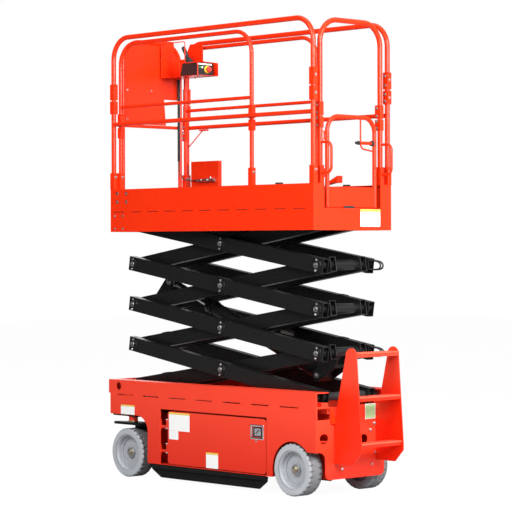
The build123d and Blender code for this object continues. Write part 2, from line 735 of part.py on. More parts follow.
inner_inside_y = inner_arm_y - arm_wide
barrel_x, barrel_z = inner_point(1, *barrel_pin)
rod_x, rod_z = inner_point(3, *rod_pin)
lug_brace = inner_point(1, 1985, -95)
for stage in range(1, stages + 1):
    front_high_z = base_pivot_z + stage * stage_rise
    rear_low_z = front_high_z - stage_rise
    with BuildPart() as outer_arms:
        arm_pair(stage, arm_tilt, outer_arm_y, shaft_radius + fit_gap)
    keep(outer_arms, f"outer_arms_{stage}")

    with BuildPart() as inner_arms:
        arm_pair(stage, -arm_tilt, inner_arm_y, shaft_radius + fit_gap)
        for x, z in ((base_pivot_x, rear_low_z), (slide_end_x, front_high_z)):
            cross_bar(x, z, bush_radius, (-inner_inside_y, inner_inside_y))
            cross_bar(x, z, shaft_radius + fit_gap, (-inner_inside_y, inner_inside_y), mode=Mode.SUBTRACT)
        if stage == 1:
            add_lugs(lug_outline([(slide_end_x, front_high_z, bush_radius), (*lug_brace, 40),
                                  (barrel_x, barrel_z, 45)]),
                     (slide_end_x, front_high_z, bush_radius), barrel_eye_wide / 2 + lug_gap)
            cross_bar(*lug_brace, lug_brace_radius, (-barrel_eye_wide / 2 - lug_gap,
                                                     barrel_eye_wide / 2 + lug_gap))
            cross_bar(barrel_x, barrel_z, cylinder_pin_radius, (-100, 100), mode=Mode.SUBTRACT)
        if stage == 3:
            add_lugs(lug_outline([(base_pivot_x, rear_low_z, 42), (*inner_point(3, 130, 0), 40),
                                  (rod_x, rod_z, 45)]),
                     (base_pivot_x, rear_low_z, bush_radius), rod_eye_wide / 2 + lug_gap)
    keep(inner_arms, f"inner_arms_{stage}")

    with BuildPart() as pins:
        half_long = outer_arm_y
        cross_bar(base_pivot_x, front_high_z, shaft_radius, (-half_long, half_long))
        if stage > 1:
            cross_bar(slide_end_x, rear_low_z, shaft_radius, (-half_long, half_long))
        ends = [(stack_mid_x, (front_high_z + rear_low_z) / 2)]
        ends += [(base_pivot_x, front_high_z)] if stage < stages else []
        ends += [(slide_end_x, rear_low_z)] if stage > 1 else []
        for side in (1, -1):
            cross_bar(*ends[0], shaft_radius, (side * (inner_inside_y - 6), side * half_long))
            for x, z in ends:
                cross_bar(x, z, pin_head_radius, (side * half_long, side * (half_long + pin_head_thick)))
                cross_bar(x, z, pin_nose_radius,
                          (side * half_long, side * (half_long + pin_head_thick + pin_nose_long)))
        if stage == stages:
            cross_bar(base_pivot_x, front_high_z, shaft_radius, (-half_long - 22, half_long + 22))
    keep(pins, f"pins_{stage}")

for label, end_z in (("lower_rollers", base_pivot_z), ("upper_rollers", top_pivot_z)):
    with BuildPart() as rollers:
        reach = roller_inner_y + roller_wide
        cross_bar(slide_end_x, end_z, shaft_radius, (-reach, reach))
        for side in (1, -1):
            cross_bar(slide_end_x, end_z, roller_radius, (side * roller_inner_y, side * reach))
            if label == "lower_rollers":
                cross_bar(slide_end_x, end_z, slider_tube_radius,
                          (-outer_arm_y + arm_wide, outer_arm_y - arm_wide))
    keep(rollers, label)

# ------------------------------------------------------------------ lift cylinder
cylinder_long = hypot(rod_x - barrel_x, rod_z - barrel_z)
cylinder_dir = ((rod_x - barrel_x) / cylinder_long, 0, (rod_z - barrel_z) / cylinder_long)
cylinder_axis = Plane(origin=(barrel_x, 0, barrel_z), x_dir=(0, 1, 0), z_dir=cylinder_dir)
with BuildPart() as cylinder_barrel:
    cross_bar(barrel_x, barrel_z, 44, (-barrel_eye_wide / 2, barrel_eye_wide / 2))
    with BuildSketch(cylinder_axis.offset(36)):
        Circle(barrel_radius)
    extrude(amount=barrel_long - 36)
    with BuildSketch(cylinder_axis.offset(barrel_long - 70)):
        Circle(barrel_radius + 7)
    extrude(amount=70)
    with BuildSketch(cylinder_axis.offset(bore_start)):
        Circle(rod_radius + 0.5)
    extrude(amount=barrel_long, mode=Mode.SUBTRACT)
    cross_bar(barrel_x, barrel_z, cylinder_pin_radius + fit_gap,
              (-barrel_eye_wide / 2, barrel_eye_wide / 2),
              mode=Mode.SUBTRACT)
keep(cylinder_barrel, "cylinder_barrel")
with BuildPart() as cylinder_rod:
    with BuildSketch(cylinder_axis.offset(cylinder_long - rod_long)):
        Circle(rod_radius)
    extrude(amount=rod_long)
    cross_bar(rod_x, rod_z, eye_radius, (-rod_eye_wide / 2, rod_eye_wide / 2))
keep(cylinder_rod, "cylinder_rod")
with BuildPart() as cylinder_pin:
    reach = barrel_eye_wide / 2 + lug_gap + lug_thick + 8
    cross_bar(barrel_x, barrel_z, cylinder_pin_radius, (-reach, reach))
keep(cylinder_pin, "cylinder_pin")

# ------------------------------------------------------------------ platform
with BuildPart() as platform_deck:
    block((deck_rear_x + liner, deck_front_x - liner), (-half_width + liner, half_width - liner),
          (deck_top - deck_thick, deck_top))
    for side in (1, -1):
        web = (side * (roller_inner_y + roller_wide + 5), side * (roller_inner_y + roller_wide + 5 + liner))
        flange = (side * channel_inner_y, web[0])
        length = (deck_rear_x + liner, deck_front_x - 200)
        low = top_pivot_z - roller_radius - channel_head_gap - liner
        high = top_pivot_z + roller_radius + seat_gap
        block(length, web, (low, deck_top - deck_thick))
        block((length[0], channel_front_x), flange, (low, low + liner))
        block((length[0], channel_front_x), flange, (high, high + liner))
        for lug_y in (channel_inner_y + 6, outer_arm_y - arm_wide - 15):
            with BuildSketch(side_plane(max(side * lug_y, side * (lug_y + 9)))) as hanger:
                with Locations((base_pivot_x, top_pivot_z)):
                    Circle(42)
                with Locations((base_pivot_x, deck_top - deck_thick - 5)):
                    Rectangle(130, 10)
                make_hull()
                with Locations((base_pivot_x, top_pivot_z)):
                    Circle(shaft_radius + fit_gap, mode=Mode.SUBTRACT)
            extrude(hanger.sketch, amount=9)
keep(platform_deck, "platform_deck")

with BuildPart() as side_skirts:
    for side in (1, -1):
        block((deck_rear_x, deck_front_x), (side * (half_width - liner), side * half_width),
              (skirt_low, toe_top))
        block((deck_rear_x + liner, deck_front_x), (side * (half_width - toe_flange),
                                                    side * (half_width - liner)),
              (toe_top - liner, toe_top))
keep(side_skirts, "side_skirts")
with BuildPart() as end_skirts:
    inner = half_width - liner
    block((deck_front_x - liner, deck_front_x), (-inner, inner), (skirt_low, deck_top))
    block((deck_rear_x, deck_rear_x + liner), (-inner, inner), (skirt_low, deck_top))
    for side in (1, -1):
        block((deck_rear_x, deck_rear_x + liner), (side * entry_y, side * inner), (deck_top, toe_top))
        block((deck_rear_x + liner, deck_rear_x + 50), (side * entry_y, side * (half_width - toe_flange)),
              (toe_top - liner, toe_top))
keep(end_skirts, "end_skirts")

for name, side in (("left", 1), ("right", -1)):
    y = side * rail_y
    front_x, rear_x = mid_x + post_reach, mid_x - post_reach
    with BuildPart() as main_rail:
        tube([(front_x, y, toe_top), (front_x, y, rail_top), (rear_x, y, rail_top), (rear_x, y, toe_top)],
             rail_radius, rail_bend)
        bar((front_x, y, mid_rail_z), (rear_x, y, mid_rail_z), rail_radius - 3)
        for x in (front_x, rear_x):
            block((x - socket_wide / 2, x + socket_wide / 2), (y - rail_radius, y + rail_radius),
                  (toe_top, toe_top + socket_high))
            fold_joint((x - 24, x + 24), (side * (rail_y - fold_inside), side * half_width), main_fold)
    keep(main_rail, f"main_rail_{name}")
with BuildPart() as rear_hoop:
    tube([(hoop_x, hoop_y, toe_top), (hoop_x, hoop_y, rail_top - 10), (hoop_x, -hoop_y, rail_top - 10),
          (hoop_x, -hoop_y, toe_top)], rail_radius, rail_bend)
    for side in (1, -1):
        post = (side * hoop_y - rail_radius, side * hoop_y + rail_radius)
        block((hoop_x - socket_wide / 2, hoop_x + socket_wide / 2), post, (toe_top, toe_top + socket_high))
        fold_joint((hoop_x - rail_radius, hoop_x + 34), post, hoop_fold)
        # grab handle
        tube([(hoop_x - rail_radius + 2, side * hoop_y, handle_high),
              (hoop_x - handle_reach, side * hoop_y, handle_high),
              (hoop_x - handle_reach, side * hoop_y, handle_low), (hoop_x - rail_radius + 2, side * hoop_y,
                                                                   handle_low)],
             handle_radius, 45)
    for z in gate_hinge_heights:
        upright(gate_x, gate_hinge_y, gate_pin_radius, (z - 32, z + 32))
        for low in (z - 32, z + 26):
            block((gate_x - 6, gate_x + 6), (gate_hinge_y - 6, hoop_y - 10), (low, low + 6))
keep(rear_hoop, "rear_hoop")
gate_tube_radius = 16.0
latch_bar_y = -100.0
latch_bar_z = 2516.0
spring_tube_y = -72.0
spring_tube_z = 2556.0
gate_bend = 110.0
kick_plate_top = 2233.0
latch_bar = (6.0, 40.0)  # radius and bend
spring_tube_radius = 12.0
with BuildPart() as gate:
    tube([(gate_x, gate_post_y, gate_low), (gate_x, gate_post_y, gate_top - gate_tube_radius),
          (gate_x, -gate_post_y, gate_top - gate_tube_radius), (gate_x, -gate_post_y, gate_low)],
         gate_tube_radius, gate_bend)
    block((gate_x - 3, gate_x + 3), (-gate_post_y, gate_post_y), (gate_low, kick_plate_top))
    # bent latch bar and the sprung tube beside it
    tube([(gate_x, latch_bar_y, gate_top - gate_tube_radius), (gate_x, latch_bar_y, latch_bar_z),
          (gate_x, -gate_post_y, latch_bar_z - 20)], *latch_bar)
    bar((gate_x, -gate_post_y, spring_tube_z), (gate_x, spring_tube_y, spring_tube_z),
        spring_tube_radius)
    for z in gate_hinge_heights:
        bar((gate_x, gate_post_y, z), (gate_x, gate_hinge_y, z), 6)
        upright(gate_x, gate_hinge_y, 8, (z - 25, z + 25))
        upright(gate_x, gate_hinge_y, gate_pin_radius + fit_gap, (z - 25, z + 25), mode=Mode.SUBTRACT)
keep(gate, "gate")

# ------------------------------------------------------------------ extension deck
ext_low = deck_top + 0.5
with BuildPart() as extension_deck:
    block((ext_rear_x, deck_front_x - liner), (-ext_toe_y, ext_toe_y), (ext_low, ext_low + ext_thick))
    for side in (1, -1):
        block((ext_rear_x, deck_front_x), (side * (ext_toe_y - liner), side * ext_toe_y),
              (ext_low + ext_thick, ext_toe_top))
    block((deck_front_x - liner, deck_front_x), (-ext_toe_y + liner, ext_toe_y - liner),
          (ext_low, ext_toe_top))
keep(extension_deck, "extension_deck")
for name, side in (("left", 1), ("right", -1)):
    y = side * ext_rail_y
    foot = ext_low + ext_thick
    with BuildPart() as ext_rail:
        tube([(ext_front_post_x, y, foot), (ext_front_post_x, y, ext_rail_top),
              (ext_rear_post_x, y, ext_rail_top),
              (ext_rear_post_x, y, foot)], ext_rail_radius, rail_bend)
        bar((ext_front_post_x, y, ext_mid_rail_z), (ext_rear_post_x, y, ext_mid_rail_z),
            ext_rail_radius - 3)
        for x in (ext_front_post_x, ext_rear_post_x):
            block((x - 20, x + 20), (y - 20, y + 20), (foot, toe_top + socket_high))
            fold_joint((x - 20, x + 20), (side * (ext_rail_y - 20), side * (ext_rail_y + ext_rail_radius)),
                       ext_fold)
    keep(ext_rail, f"extension_rail_{name}")
hoop_top_z = rail_top - 8.0
front_mid_z = 2765.0
with BuildPart() as front_hoop:
    tube([(front_hoop_x, front_hoop_y, ext_low + ext_thick), (front_hoop_x, front_hoop_y, hoop_top_z),
          (front_hoop_x, -front_hoop_y, hoop_top_z), (front_hoop_x, -front_hoop_y, ext_low + ext_thick)],
         ext_rail_radius, rail_bend)
    bar((front_hoop_x, front_hoop_y, front_mid_z), (front_hoop_x, -front_hoop_y, front_mid_z),
        ext_rail_radius - 3)
    # sheet that fills the upper part of the hoop, stepped up on the right
    with BuildSketch(rear_plane(front_hoop_x + panel_thick / 2)) as panel:
        with BuildLine():
            Polyline((-front_hoop_y, panel_low_z), (-front_hoop_y, hoop_top_z), (front_hoop_y, hoop_top_z),
                     (front_hoop_y, panel_step_z), (-panel_step_y, panel_step_z),
                     (-panel_step_y + 20, panel_low_z), close=True)
        make_face()
        fillet(panel.vertices().group_by(Axis.Y)[-1], rail_bend)
    extrude(panel.sketch, amount=panel_thick)
keep(front_hoop, "front_hoop")

# ------------------------------------------------------------------ upper controls
cradle_y = (-284.0, -84.0)
cradle_rear_x = mid_x + 625.0
cradle_step_x = mid_x + 804.0
cradle_low_z = 3158.0
cradle_thick = 3.0
cradle_front_x = front_hoop_x - ext_rail_radius - seat_gap
cheek_low_top = 3262.0
cheek_high_top = 3434.0
cheek_front_low_z = 3318.0  # underside of the cheek's nose, and sill of the window for the cables
cheek_nose = (155.0, 190.0)  # from the step to the cheek's lower and upper front corners
cheek_bend = 14.0
cable_window_wide = 64.0
hook_top_z = hoop_top_z + ext_rail_radius + 4.0  # the back plate hooks over the top rail
guard_bar_radius = 4.0
guard_bar_y = cradle_y[1] - 5.0
guard_bar_bend = 16.0
guard_bar_gap = 18.0  # ahead of the box
box_x = (mid_x + 670.0, mid_x + 872.0)
box_y = (-266.0, -98.0)
box_top_z = 3263.0
box_slope = 26.0
box_chamfer = 6.0
stick_foot = (mid_x + 825.0, -165.0)
stick_tip = (mid_x + 912.0, 3402.0)
stick_radius = 9.0
boot_radius = 34.0
boot_high = 26.0
boot_taper = 32.0
stop_y = -205.0
stop_z = 3210.0
stop_ring = (26.0, 12.0)  # radius and thickness of the collar under the stop button
stop_head = (19.0, 22.0)
conduit_radius = 10.0
cable_radius = 4.0
cable_bend = 24.0
conduit_x = front_hoop_x - (ext_rail_radius - 3) - seat_gap - conduit_radius
conduit_y = -268.0
conduit_end_z = 2494.0
socket_y = -314.0
socket_z = 2335.0
socket_x = (mid_x + 705.0, mid_x + 915.0)
socket_radius = 11.0
papers_x = (mid_x + 672.0, mid_x + 998.0)
papers_y = (-ext_toe_y + liner + 5.0, socket_y - socket_radius)
papers_top = 2490.0
papers_wall = 3.0
with BuildPart() as control_cradle:
    floor_top = cradle_low_z + cradle_thick
    block((cradle_rear_x, cradle_front_x), cradle_y, (cradle_low_z, floor_top))
    # back plate with a window, hooked over the top rail
    block((cradle_front_x - cradle_thick, cradle_front_x), cradle_y,
          (floor_top, hook_top_z))
    block((cradle_front_x - cradle_thick, cradle_front_x), (cradle_y[0], cradle_y[0] + cable_window_wide),
          (cheek_front_low_z, hook_top_z), mode=Mode.SUBTRACT)
    block((cradle_front_x - cradle_thick, front_hoop_x + 20),
          (cradle_y[0] + cable_window_wide, cradle_y[1]),
          (hoop_top_z + ext_rail_radius + seat_gap, hook_top_z))
    # far cheek, cut away behind the stick
    with BuildSketch(side_plane(cradle_y[0] + cradle_thick)) as cheek:
        with BuildLine():
            Polyline((cradle_rear_x, floor_top), (cradle_rear_x, cheek_low_top),
                     (cradle_step_x, cheek_low_top + box_slope),
                     (cradle_step_x, cheek_high_top), (cradle_step_x + cheek_nose[0], cheek_high_top),
                     (cradle_step_x + cheek_nose[1], cheek_high_top - 60),
                     (cradle_step_x + cheek_nose[0], cheek_front_low_z),
                     (cradle_front_x - cradle_thick, cheek_front_low_z),
                     (cradle_front_x - cradle_thick, floor_top), close=True)
        make_face()
        for corner in ((cradle_rear_x, cheek_low_top), (cradle_step_x, cheek_low_top + box_slope)):
            fillet(cheek.vertices().sort_by_distance(corner)[0], cheek_bend)
    extrude(cheek.sketch, amount=cradle_thick)
    # bent guard bar on the near side
    tube([(cradle_front_x - cradle_thick, guard_bar_y, cheek_high_top),
          (cradle_step_x, guard_bar_y, cheek_high_top), (cradle_step_x, guard_bar_y, cheek_low_top),
          (box_x[0] - guard_bar_gap, guard_bar_y, cheek_low_top),
          (box_x[0] - guard_bar_gap, guard_bar_y, floor_top)], guard_bar_radius, guard_bar_bend)
keep(control_cradle, "control_cradle")
with BuildPart() as control_box:
    with BuildSketch(side_plane(box_y[1])) as side_view:
        with BuildLine():
            Polyline((box_x[0], floor_top), (box_x[0], box_top_z), (box_x[1] - box_slope, box_top_z),
                     (box_x[1], floor_top),
                     close=True)
        make_face()
    extrude(side_view.sketch, amount=box_y[1] - box_y[0])
    chamfer(control_box.edges().filter_by(Axis.X).group_by(Axis.Z)[-1], box_chamfer)
    bar((stick_foot[0], stick_foot[1], box_top_z - 4), (stick_tip[0], stick_foot[1], stick_tip[1]),
        stick_radius)
    with BuildSketch(Plane.XY.offset(box_top_z)) as boot:
        with Locations(stick_foot):
            Circle(boot_radius)
    extrude(boot.sketch, amount=boot_high, taper=boot_taper)
    with BuildSketch(rear_plane(box_x[0])) as stop_button:
        with Locations((-stop_y, stop_z)):
            Circle(stop_ring[0])
    extrude(stop_button.sketch, amount=stop_ring[1])
    with BuildSketch(rear_plane(box_x[0] - stop_ring[1])) as stop_knob:
        with Locations((-stop_y, stop_z)):
            Circle(stop_head[0])
    extrude(stop_knob.sketch, amount=stop_head[1])
keep(control_box, "control_box")
conduit_route = [
    (conduit_x, conduit_y, conduit_end_z),
    (conduit_x, conduit_y, conduit_end_z - 45),
    (conduit_x - 4, conduit_y - 4, conduit_end_z - 100),
    (conduit_x - 40, conduit_y - 22, conduit_end_z - 150),
    (conduit_x - 95, socket_y, socket_z),
    (socket_x[1], socket_y, socket_z),
]
with BuildPart() as control_conduit:
    bar((conduit_x, conduit_y, cradle_low_z), (conduit_x, conduit_y, conduit_end_z), conduit_radius)
    tube(conduit_route, cable_radius, cable_bend)
keep(control_conduit, "control_conduit")
# open document box beside the right toe board, with the power socket on its face
with BuildPart() as document_box:
    foot = ext_low + ext_thick
    block(papers_x, papers_y, (foot, papers_top))
    block((papers_x[0] + papers_wall, papers_x[1] - papers_wall),
          (papers_y[0] + papers_wall, papers_y[1] - papers_wall),
          (foot + papers_wall, papers_top), mode=Mode.SUBTRACT)
    with BuildSketch(Plane(origin=(socket_x[0], 0, 0), x_dir=(0, 1, 0), z_dir=(1, 0, 0))) as plug:
        with Locations((socket_y, socket_z)):
            Circle(socket_radius + 0.5)
    extrude(plug.sketch, amount=socket_x[1] - socket_x[0])
keep(document_box, "document_box")
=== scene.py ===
import bpy
import bmesh
import json
from math import asin, cos, pi, radians, sin
from mathutils import Matrix, Vector


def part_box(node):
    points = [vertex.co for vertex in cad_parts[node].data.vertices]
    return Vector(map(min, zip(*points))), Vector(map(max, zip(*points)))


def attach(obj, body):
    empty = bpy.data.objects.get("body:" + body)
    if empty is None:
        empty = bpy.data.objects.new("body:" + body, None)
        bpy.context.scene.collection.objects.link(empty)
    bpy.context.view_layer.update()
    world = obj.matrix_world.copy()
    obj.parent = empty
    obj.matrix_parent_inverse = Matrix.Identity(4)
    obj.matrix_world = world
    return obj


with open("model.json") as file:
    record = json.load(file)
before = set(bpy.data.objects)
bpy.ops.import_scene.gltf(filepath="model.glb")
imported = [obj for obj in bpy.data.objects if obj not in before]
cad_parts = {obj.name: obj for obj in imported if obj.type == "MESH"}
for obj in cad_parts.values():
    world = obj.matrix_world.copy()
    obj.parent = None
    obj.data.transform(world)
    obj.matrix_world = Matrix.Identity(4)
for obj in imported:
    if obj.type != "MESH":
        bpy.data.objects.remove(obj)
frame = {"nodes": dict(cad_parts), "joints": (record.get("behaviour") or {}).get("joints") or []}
nodes = frame["nodes"]
joint_at = {row["name"]: row.get("pos_m") for row in frame["joints"]}
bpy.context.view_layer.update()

# ---- Floor, lamps and camera ----
# A plain pale floor reaches far past the machine. One large soft lamp stands at the ladder end and
# a second on the left side. Two weak ones hang overhead and past the nose. A long lens looks from
# behind on the left.
scene = bpy.context.scene
scene.view_settings.view_transform = "Standard"
mid_x = joint_at["guard_left_fold"][0]  # middle of the chassis in the shared frame
rear_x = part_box("side_walls")[0][0]
skirt_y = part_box("side_skirts")[1][1]


def mesh_piece(name, vertices, faces, smooth=False):
    """A mesh object at the origin, with its place in its vertices."""
    mesh = bpy.data.meshes.new(name)
    mesh.from_pydata(vertices, [], faces)
    mesh.update()
    if smooth:
        mesh.shade_smooth()
    piece = bpy.data.objects.new(name, mesh)
    scene.collection.objects.link(piece)
    return piece


def node_maker(tree, prefix):
    """A short way to add a node with its values and its links, by a kind without its prefix."""
    def add(kind, links=(), **values):
        whole = kind.startswith(("ShaderNode", "FunctionNode", "NodeGroup"))
        made = tree.nodes.new(kind if whole else prefix + kind)
        for key, value in values.items():
            if hasattr(made, key):
                setattr(made, key, value)
            else:
                made.inputs[key.replace("_", " ")].default_value = value
        for socket, source in links:
            tree.links.new(source, made.inputs[socket])
        return made
    return add


floor_paint = bpy.data.materials.new("studio floor")
floor_paint.use_nodes = True
tree = floor_paint.node_tree
add = node_maker(tree, "ShaderNode")
matt = tree.nodes["Principled BSDF"]
matt.inputs["Base Color"].default_value = (0.36, 0.36, 0.37, 1)
matt.inputs["Roughness"].default_value = 0.75
seen = add("LightPath")
pale = add("Emission", Color=(1, 1, 1, 1), Strength=1.14)
share = add("Math", [(0, seen.outputs["Is Camera Ray"])], operation="MULTIPLY")
share.inputs[1].default_value = 0.84
mixed = add("MixShader", [("Fac", share.outputs[0]), (1, matt.outputs[0]), (2, pale.outputs[0])])
tree.links.new(mixed.outputs[0], tree.nodes["Material Output"].inputs["Surface"])
half = 30.0
floor = mesh_piece("studio_floor", [(-half, -half, 0), (half, -half, 0), (half, half, 0), (-half, half, 0)],
                   [(0, 1, 2, 3)])
floor.data.materials.append(floor_paint)

world = bpy.data.worlds.new("studio air")
scene.world = world
world.use_nodes = True
air = world.node_tree
add = node_maker(air, "ShaderNode")
# The room is bright behind the ladder end and dim past the nose, so the long sides stay deep.
room = add("TexCoord")
towards = add("VectorMath", [(0, room.outputs["Generated"])], operation="DOT_PRODUCT")
towards.inputs[1].default_value = (-0.68, -0.68, 0.27)
glow = add("MapRange", [("Value", towards.outputs["Value"])], From_Min=-0.55, From_Max=0.85, To_Min=0.05,
           To_Max=0.7)
background = air.nodes["Background"]
background.inputs["Color"].default_value = (0.96, 0.97, 1.0, 1)
air.links.new(glow.outputs[0], background.inputs["Strength"])
backdrop = add("Background", Color=(1, 1, 1, 1), Strength=1.0)
direct = add("LightPath")
choose = add("MixShader", [("Fac", direct.outputs["Is Camera Ray"]), (1, background.outputs[0]),
                           (2, backdrop.outputs[0])])
air.links.new(choose.outputs[0], air.nodes["World Output"].inputs["Surface"])

for name, spot, target, size, power in (
        ("rear lamp", (-7.6, 1.2, 4.6), (0, 0, 1.6), 3.6, 1120),
        ("side lamp", (-2.2, 8.0, 6.0), (0.2, 0, 1.6), 4.0, 700),
        ("top lamp", (0.5, 0.5, 8.5), (0, 0, 1.0), 4.5, 120),
        ("front fill", (8.0, -3.5, 3.5), (0, 0, 1.5), 5.0, 120)):
    lamp = bpy.data.lights.new(name, "AREA")
    lamp.size = size
    lamp.energy = power
    holder = bpy.data.objects.new(name, lamp)
    holder.location = spot
    holder.rotation_euler = (Vector(target) - Vector(spot)).to_track_quat("-Z", "Y").to_euler()
    scene.collection.objects.link(holder)

yaw, pitch, roll = 0.814, -0.004, -0.002
lens_spot = (mid_x - 11.788946, 11.030292, 1.795005)
forward = Vector((sin(yaw) * cos(pitch), -cos(yaw) * cos(pitch), sin(pitch)))
level = Vector((-cos(yaw), -sin(yaw), 0))
upward = level.cross(forward)
right = level * cos(roll) + upward * sin(roll)
top = upward * cos(roll) - level * sin(roll)
lens = bpy.data.cameras.new("long lens")
lens.lens = 148.44
lens.clip_end = 200
camera = bpy.data.objects.new("long lens", lens)
turned_to = Matrix((right, top, -forward)).transposed().to_4x4()
camera.matrix_world = Matrix.Translation(lens_spot) @ turned_to
scene.collection.objects.link(camera)
scene.camera = camera


def settle(piece, body):
    """Let a finished piece ride on its body."""
    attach(piece, body)


def shader(name, colour, roughness, metallic=0.0):
    """A material with its main shader, and short ways to add nodes, noise, ranges and mixes to it."""
    mat = bpy.data.materials.new(name)
    mat.use_nodes = True
    tree = mat.node_tree
    base = tree.nodes["Principled BSDF"]
    base.inputs["Base Color"].default_value = (*colour, 1)
    base.inputs["Roughness"].default_value = roughness
    base.inputs["Metallic"].default_value = metallic
    base.inputs["Specular IOR Level"].default_value = 0.5 if metallic else 0.36
    add = node_maker(tree, "ShaderNode")
    place = add("TexCoord").outputs

    def noise(scale, detail, rough=0.5):
        return add("TexNoise", [("Vector", place["Object"])], Scale=scale, Detail=detail,
                   Roughness=rough).outputs["Fac"]

    def ramp(value, low, high, to_low=0.0, to_high=1.0):
        return add("MapRange", [("Value", value)], From_Min=low, From_Max=high, To_Min=to_low,
                   To_Max=to_high).outputs[0]

    def blend(factor, under, over):
        """Two colours, each a value or the output of a node, mixed by a factor."""
        mix = add("Mix", [("Factor", factor)], data_type="RGBA")
        for socket, tint in (("A", under), ("B", over)):
            if isinstance(tint, tuple):
                mix.inputs[socket].default_value = (*tint, 1)
            else:
                tree.links.new(tint, mix.inputs[socket])
        return mix.outputs["Result"]

    def feed(tint, rough, relief, strength, depth, soft=None):
        """Give the main shader its colour, its roughness and its relief, over softened edges."""
        links = [("Height", relief)] + ([("Normal", soft)] if soft else [])
        bump = add("Bump", links, Strength=strength, Distance=depth)
        for source, socket in ((tint, "Base Color"), (rough, "Roughness"), (bump.outputs[0], "Normal")):
            tree.links.new(source, base.inputs[socket])
    return mat, add, place, noise, ramp, blend, feed


def coated(name, colour, shade, worn, roughness=0.34, grain=420.0, wear=0.5, pale=None, edge=0.0022):
    """Powder coat: slow colour change, orange-peel grain, soft edges and rubbed edges. Pale is a lighter
    colour painted on the upper part as painted light from above, with the heights between which it blends in."""
    mat, add, place, noise, ramp, blend, feed = shader(name, colour, roughness)
    soft = add("Bevel", samples=4, Radius=edge).outputs[0]
    flat = add("NewGeometry").outputs["Normal"]
    turn = add("VectorMath", [(0, soft), (1, flat)], operation="DOT_PRODUCT").outputs["Value"]
    rub = noise(38.0, 5.0, 0.7)
    rubbed = add("Math", [(0, ramp(turn, 0.985, 0.8)), (1, ramp(rub, 0.56, 0.7, 0.0, wear))],
                 operation="MULTIPLY")
    tint = blend(rubbed.outputs[0], blend(noise(1.7, 3.0, 0.55), colour, shade), worn)
    # Painted light: pale blends the coat lighter towards the top, as if lit from above.
    if pale:
        lit_top_tint, low_z, high_z = pale
        height = add("SeparateXYZ", [("Vector", place["Object"])]).outputs["Z"]
        tint = blend(ramp(height, low_z, high_z), tint, lit_top_tint)
    feed(tint, ramp(rub, 0.3, 0.7, roughness - 0.05, roughness + 0.08), noise(grain, 2.0), 0.1, 0.0006, soft)
    return mat


def finish_nodes(material, *names):
    """Give CAD nodes one material."""
    for name in names:
        for slot in nodes[name].material_slots:
            slot.material = material


red = (0.87, 0.031, 0.0018)
red_deep = (0.8, 0.024, 0.0014)
red_worn = (0.88, 0.13, 0.05)
# Painted light: this lighter red is blended onto the upper chassis and the top of the ladder, over a deeper
# red lower down, as if lit from above.
painted_lit_red = (0.84, 0.052, 0.022)
chassis_red = coated("chassis red powder coat", (0.72, 0.022, 0.004), (0.66, 0.019, 0.003), red_worn,
                     roughness=0.36, pale=(painted_lit_red, 0.12, 0.6))
ladder_red = coated("ladder red powder coat", (0.84, 0.021, 0.002), (0.78, 0.018, 0.002), red_worn,
                    roughness=0.34, pale=(painted_lit_red, 0.7, 0.86))
finish_nodes(ladder_red, "ladder")
finish_nodes(chassis_red, "side_walls", "end_plates", "wheel_bay", "inner_walls", "arm_tunnel",
             "slide_channels", "door_left", "door_right")

# ---- Platform paint ----
# Guard rails, toe boards and gate are bent tube and sheet in the same coat, kept clean high up.
# Only the edges that hands and tools rub are dulled.
platform_red = coated("platform red powder coat", red, red_deep, red_worn, roughness=0.3, wear=0.35)
finish_nodes(platform_red, "side_skirts", "end_skirts", "main_rail_left", "main_rail_right", "rear_hoop",
             "gate", "extension_deck", "extension_rail_left", "extension_rail_right", "front_hoop",
             "control_cradle", "document_box")

# ---- Scissor arms ----
# Rectangular steel tube in satin black coat, with paint rubbed thin on the corners. The cylinder
# and the deck share it, and the running gear near the floor is duller.
black = (0.007, 0.007, 0.0072)
arm_black = coated("arm black coat", black, (0.01, 0.0098, 0.0095), (0.07, 0.067, 0.062), roughness=0.3,
                   grain=300.0, wear=0.6, edge=0.004)
finish_nodes(arm_black, "base_pivots", "cylinder_barrel", "platform_deck",
             *(f"inner_arms_{k}" for k in range(1, 5)), *(f"outer_arms_{k}" for k in range(1, 5)))
low_black = coated("running gear black coat", black, (0.011, 0.0105, 0.0105), (0.09, 0.085, 0.08),
                   roughness=0.45, wear=0.5)
low_black.node_tree.nodes["Principled BSDF"].inputs["Specular IOR Level"].default_value = 0.1
finish_nodes(low_black, "pothole_guard_left", "pothole_guard_right", "knuckle_left", "knuckle_right",
             "tie_rod", "steering_plates", "rear_axle")


# ---- Bare steel ----
# Turned pins are zinc plated, with fine tool rings and a slightly cloudy passivation.
def plated(name, colour, roughness, rings=900.0):
    mat, _, _, noise, ramp, blend, feed = shader(name, colour, roughness, 1.0)
    cloud = noise(26.0, 4.0, 0.6)
    feed(blend(cloud, colour, tuple(c * 0.82 for c in colour)),
         ramp(cloud, 0.3, 0.7, roughness - 0.07, roughness + 0.1), noise(rings, 1.0), 0.12, 0.0003)
    return mat


zinc = plated("zinc plated steel", (0.52, 0.52, 0.51), 0.36)
finish_nodes(zinc, "cylinder_pin")
finish_nodes(arm_black, *(f"pins_{k}" for k in range(1, 5)))
chrome = plated("hard chrome rod", (0.8, 0.81, 0.82), 0.12, rings=1500.0)
finish_nodes(chrome, "cylinder_rod")
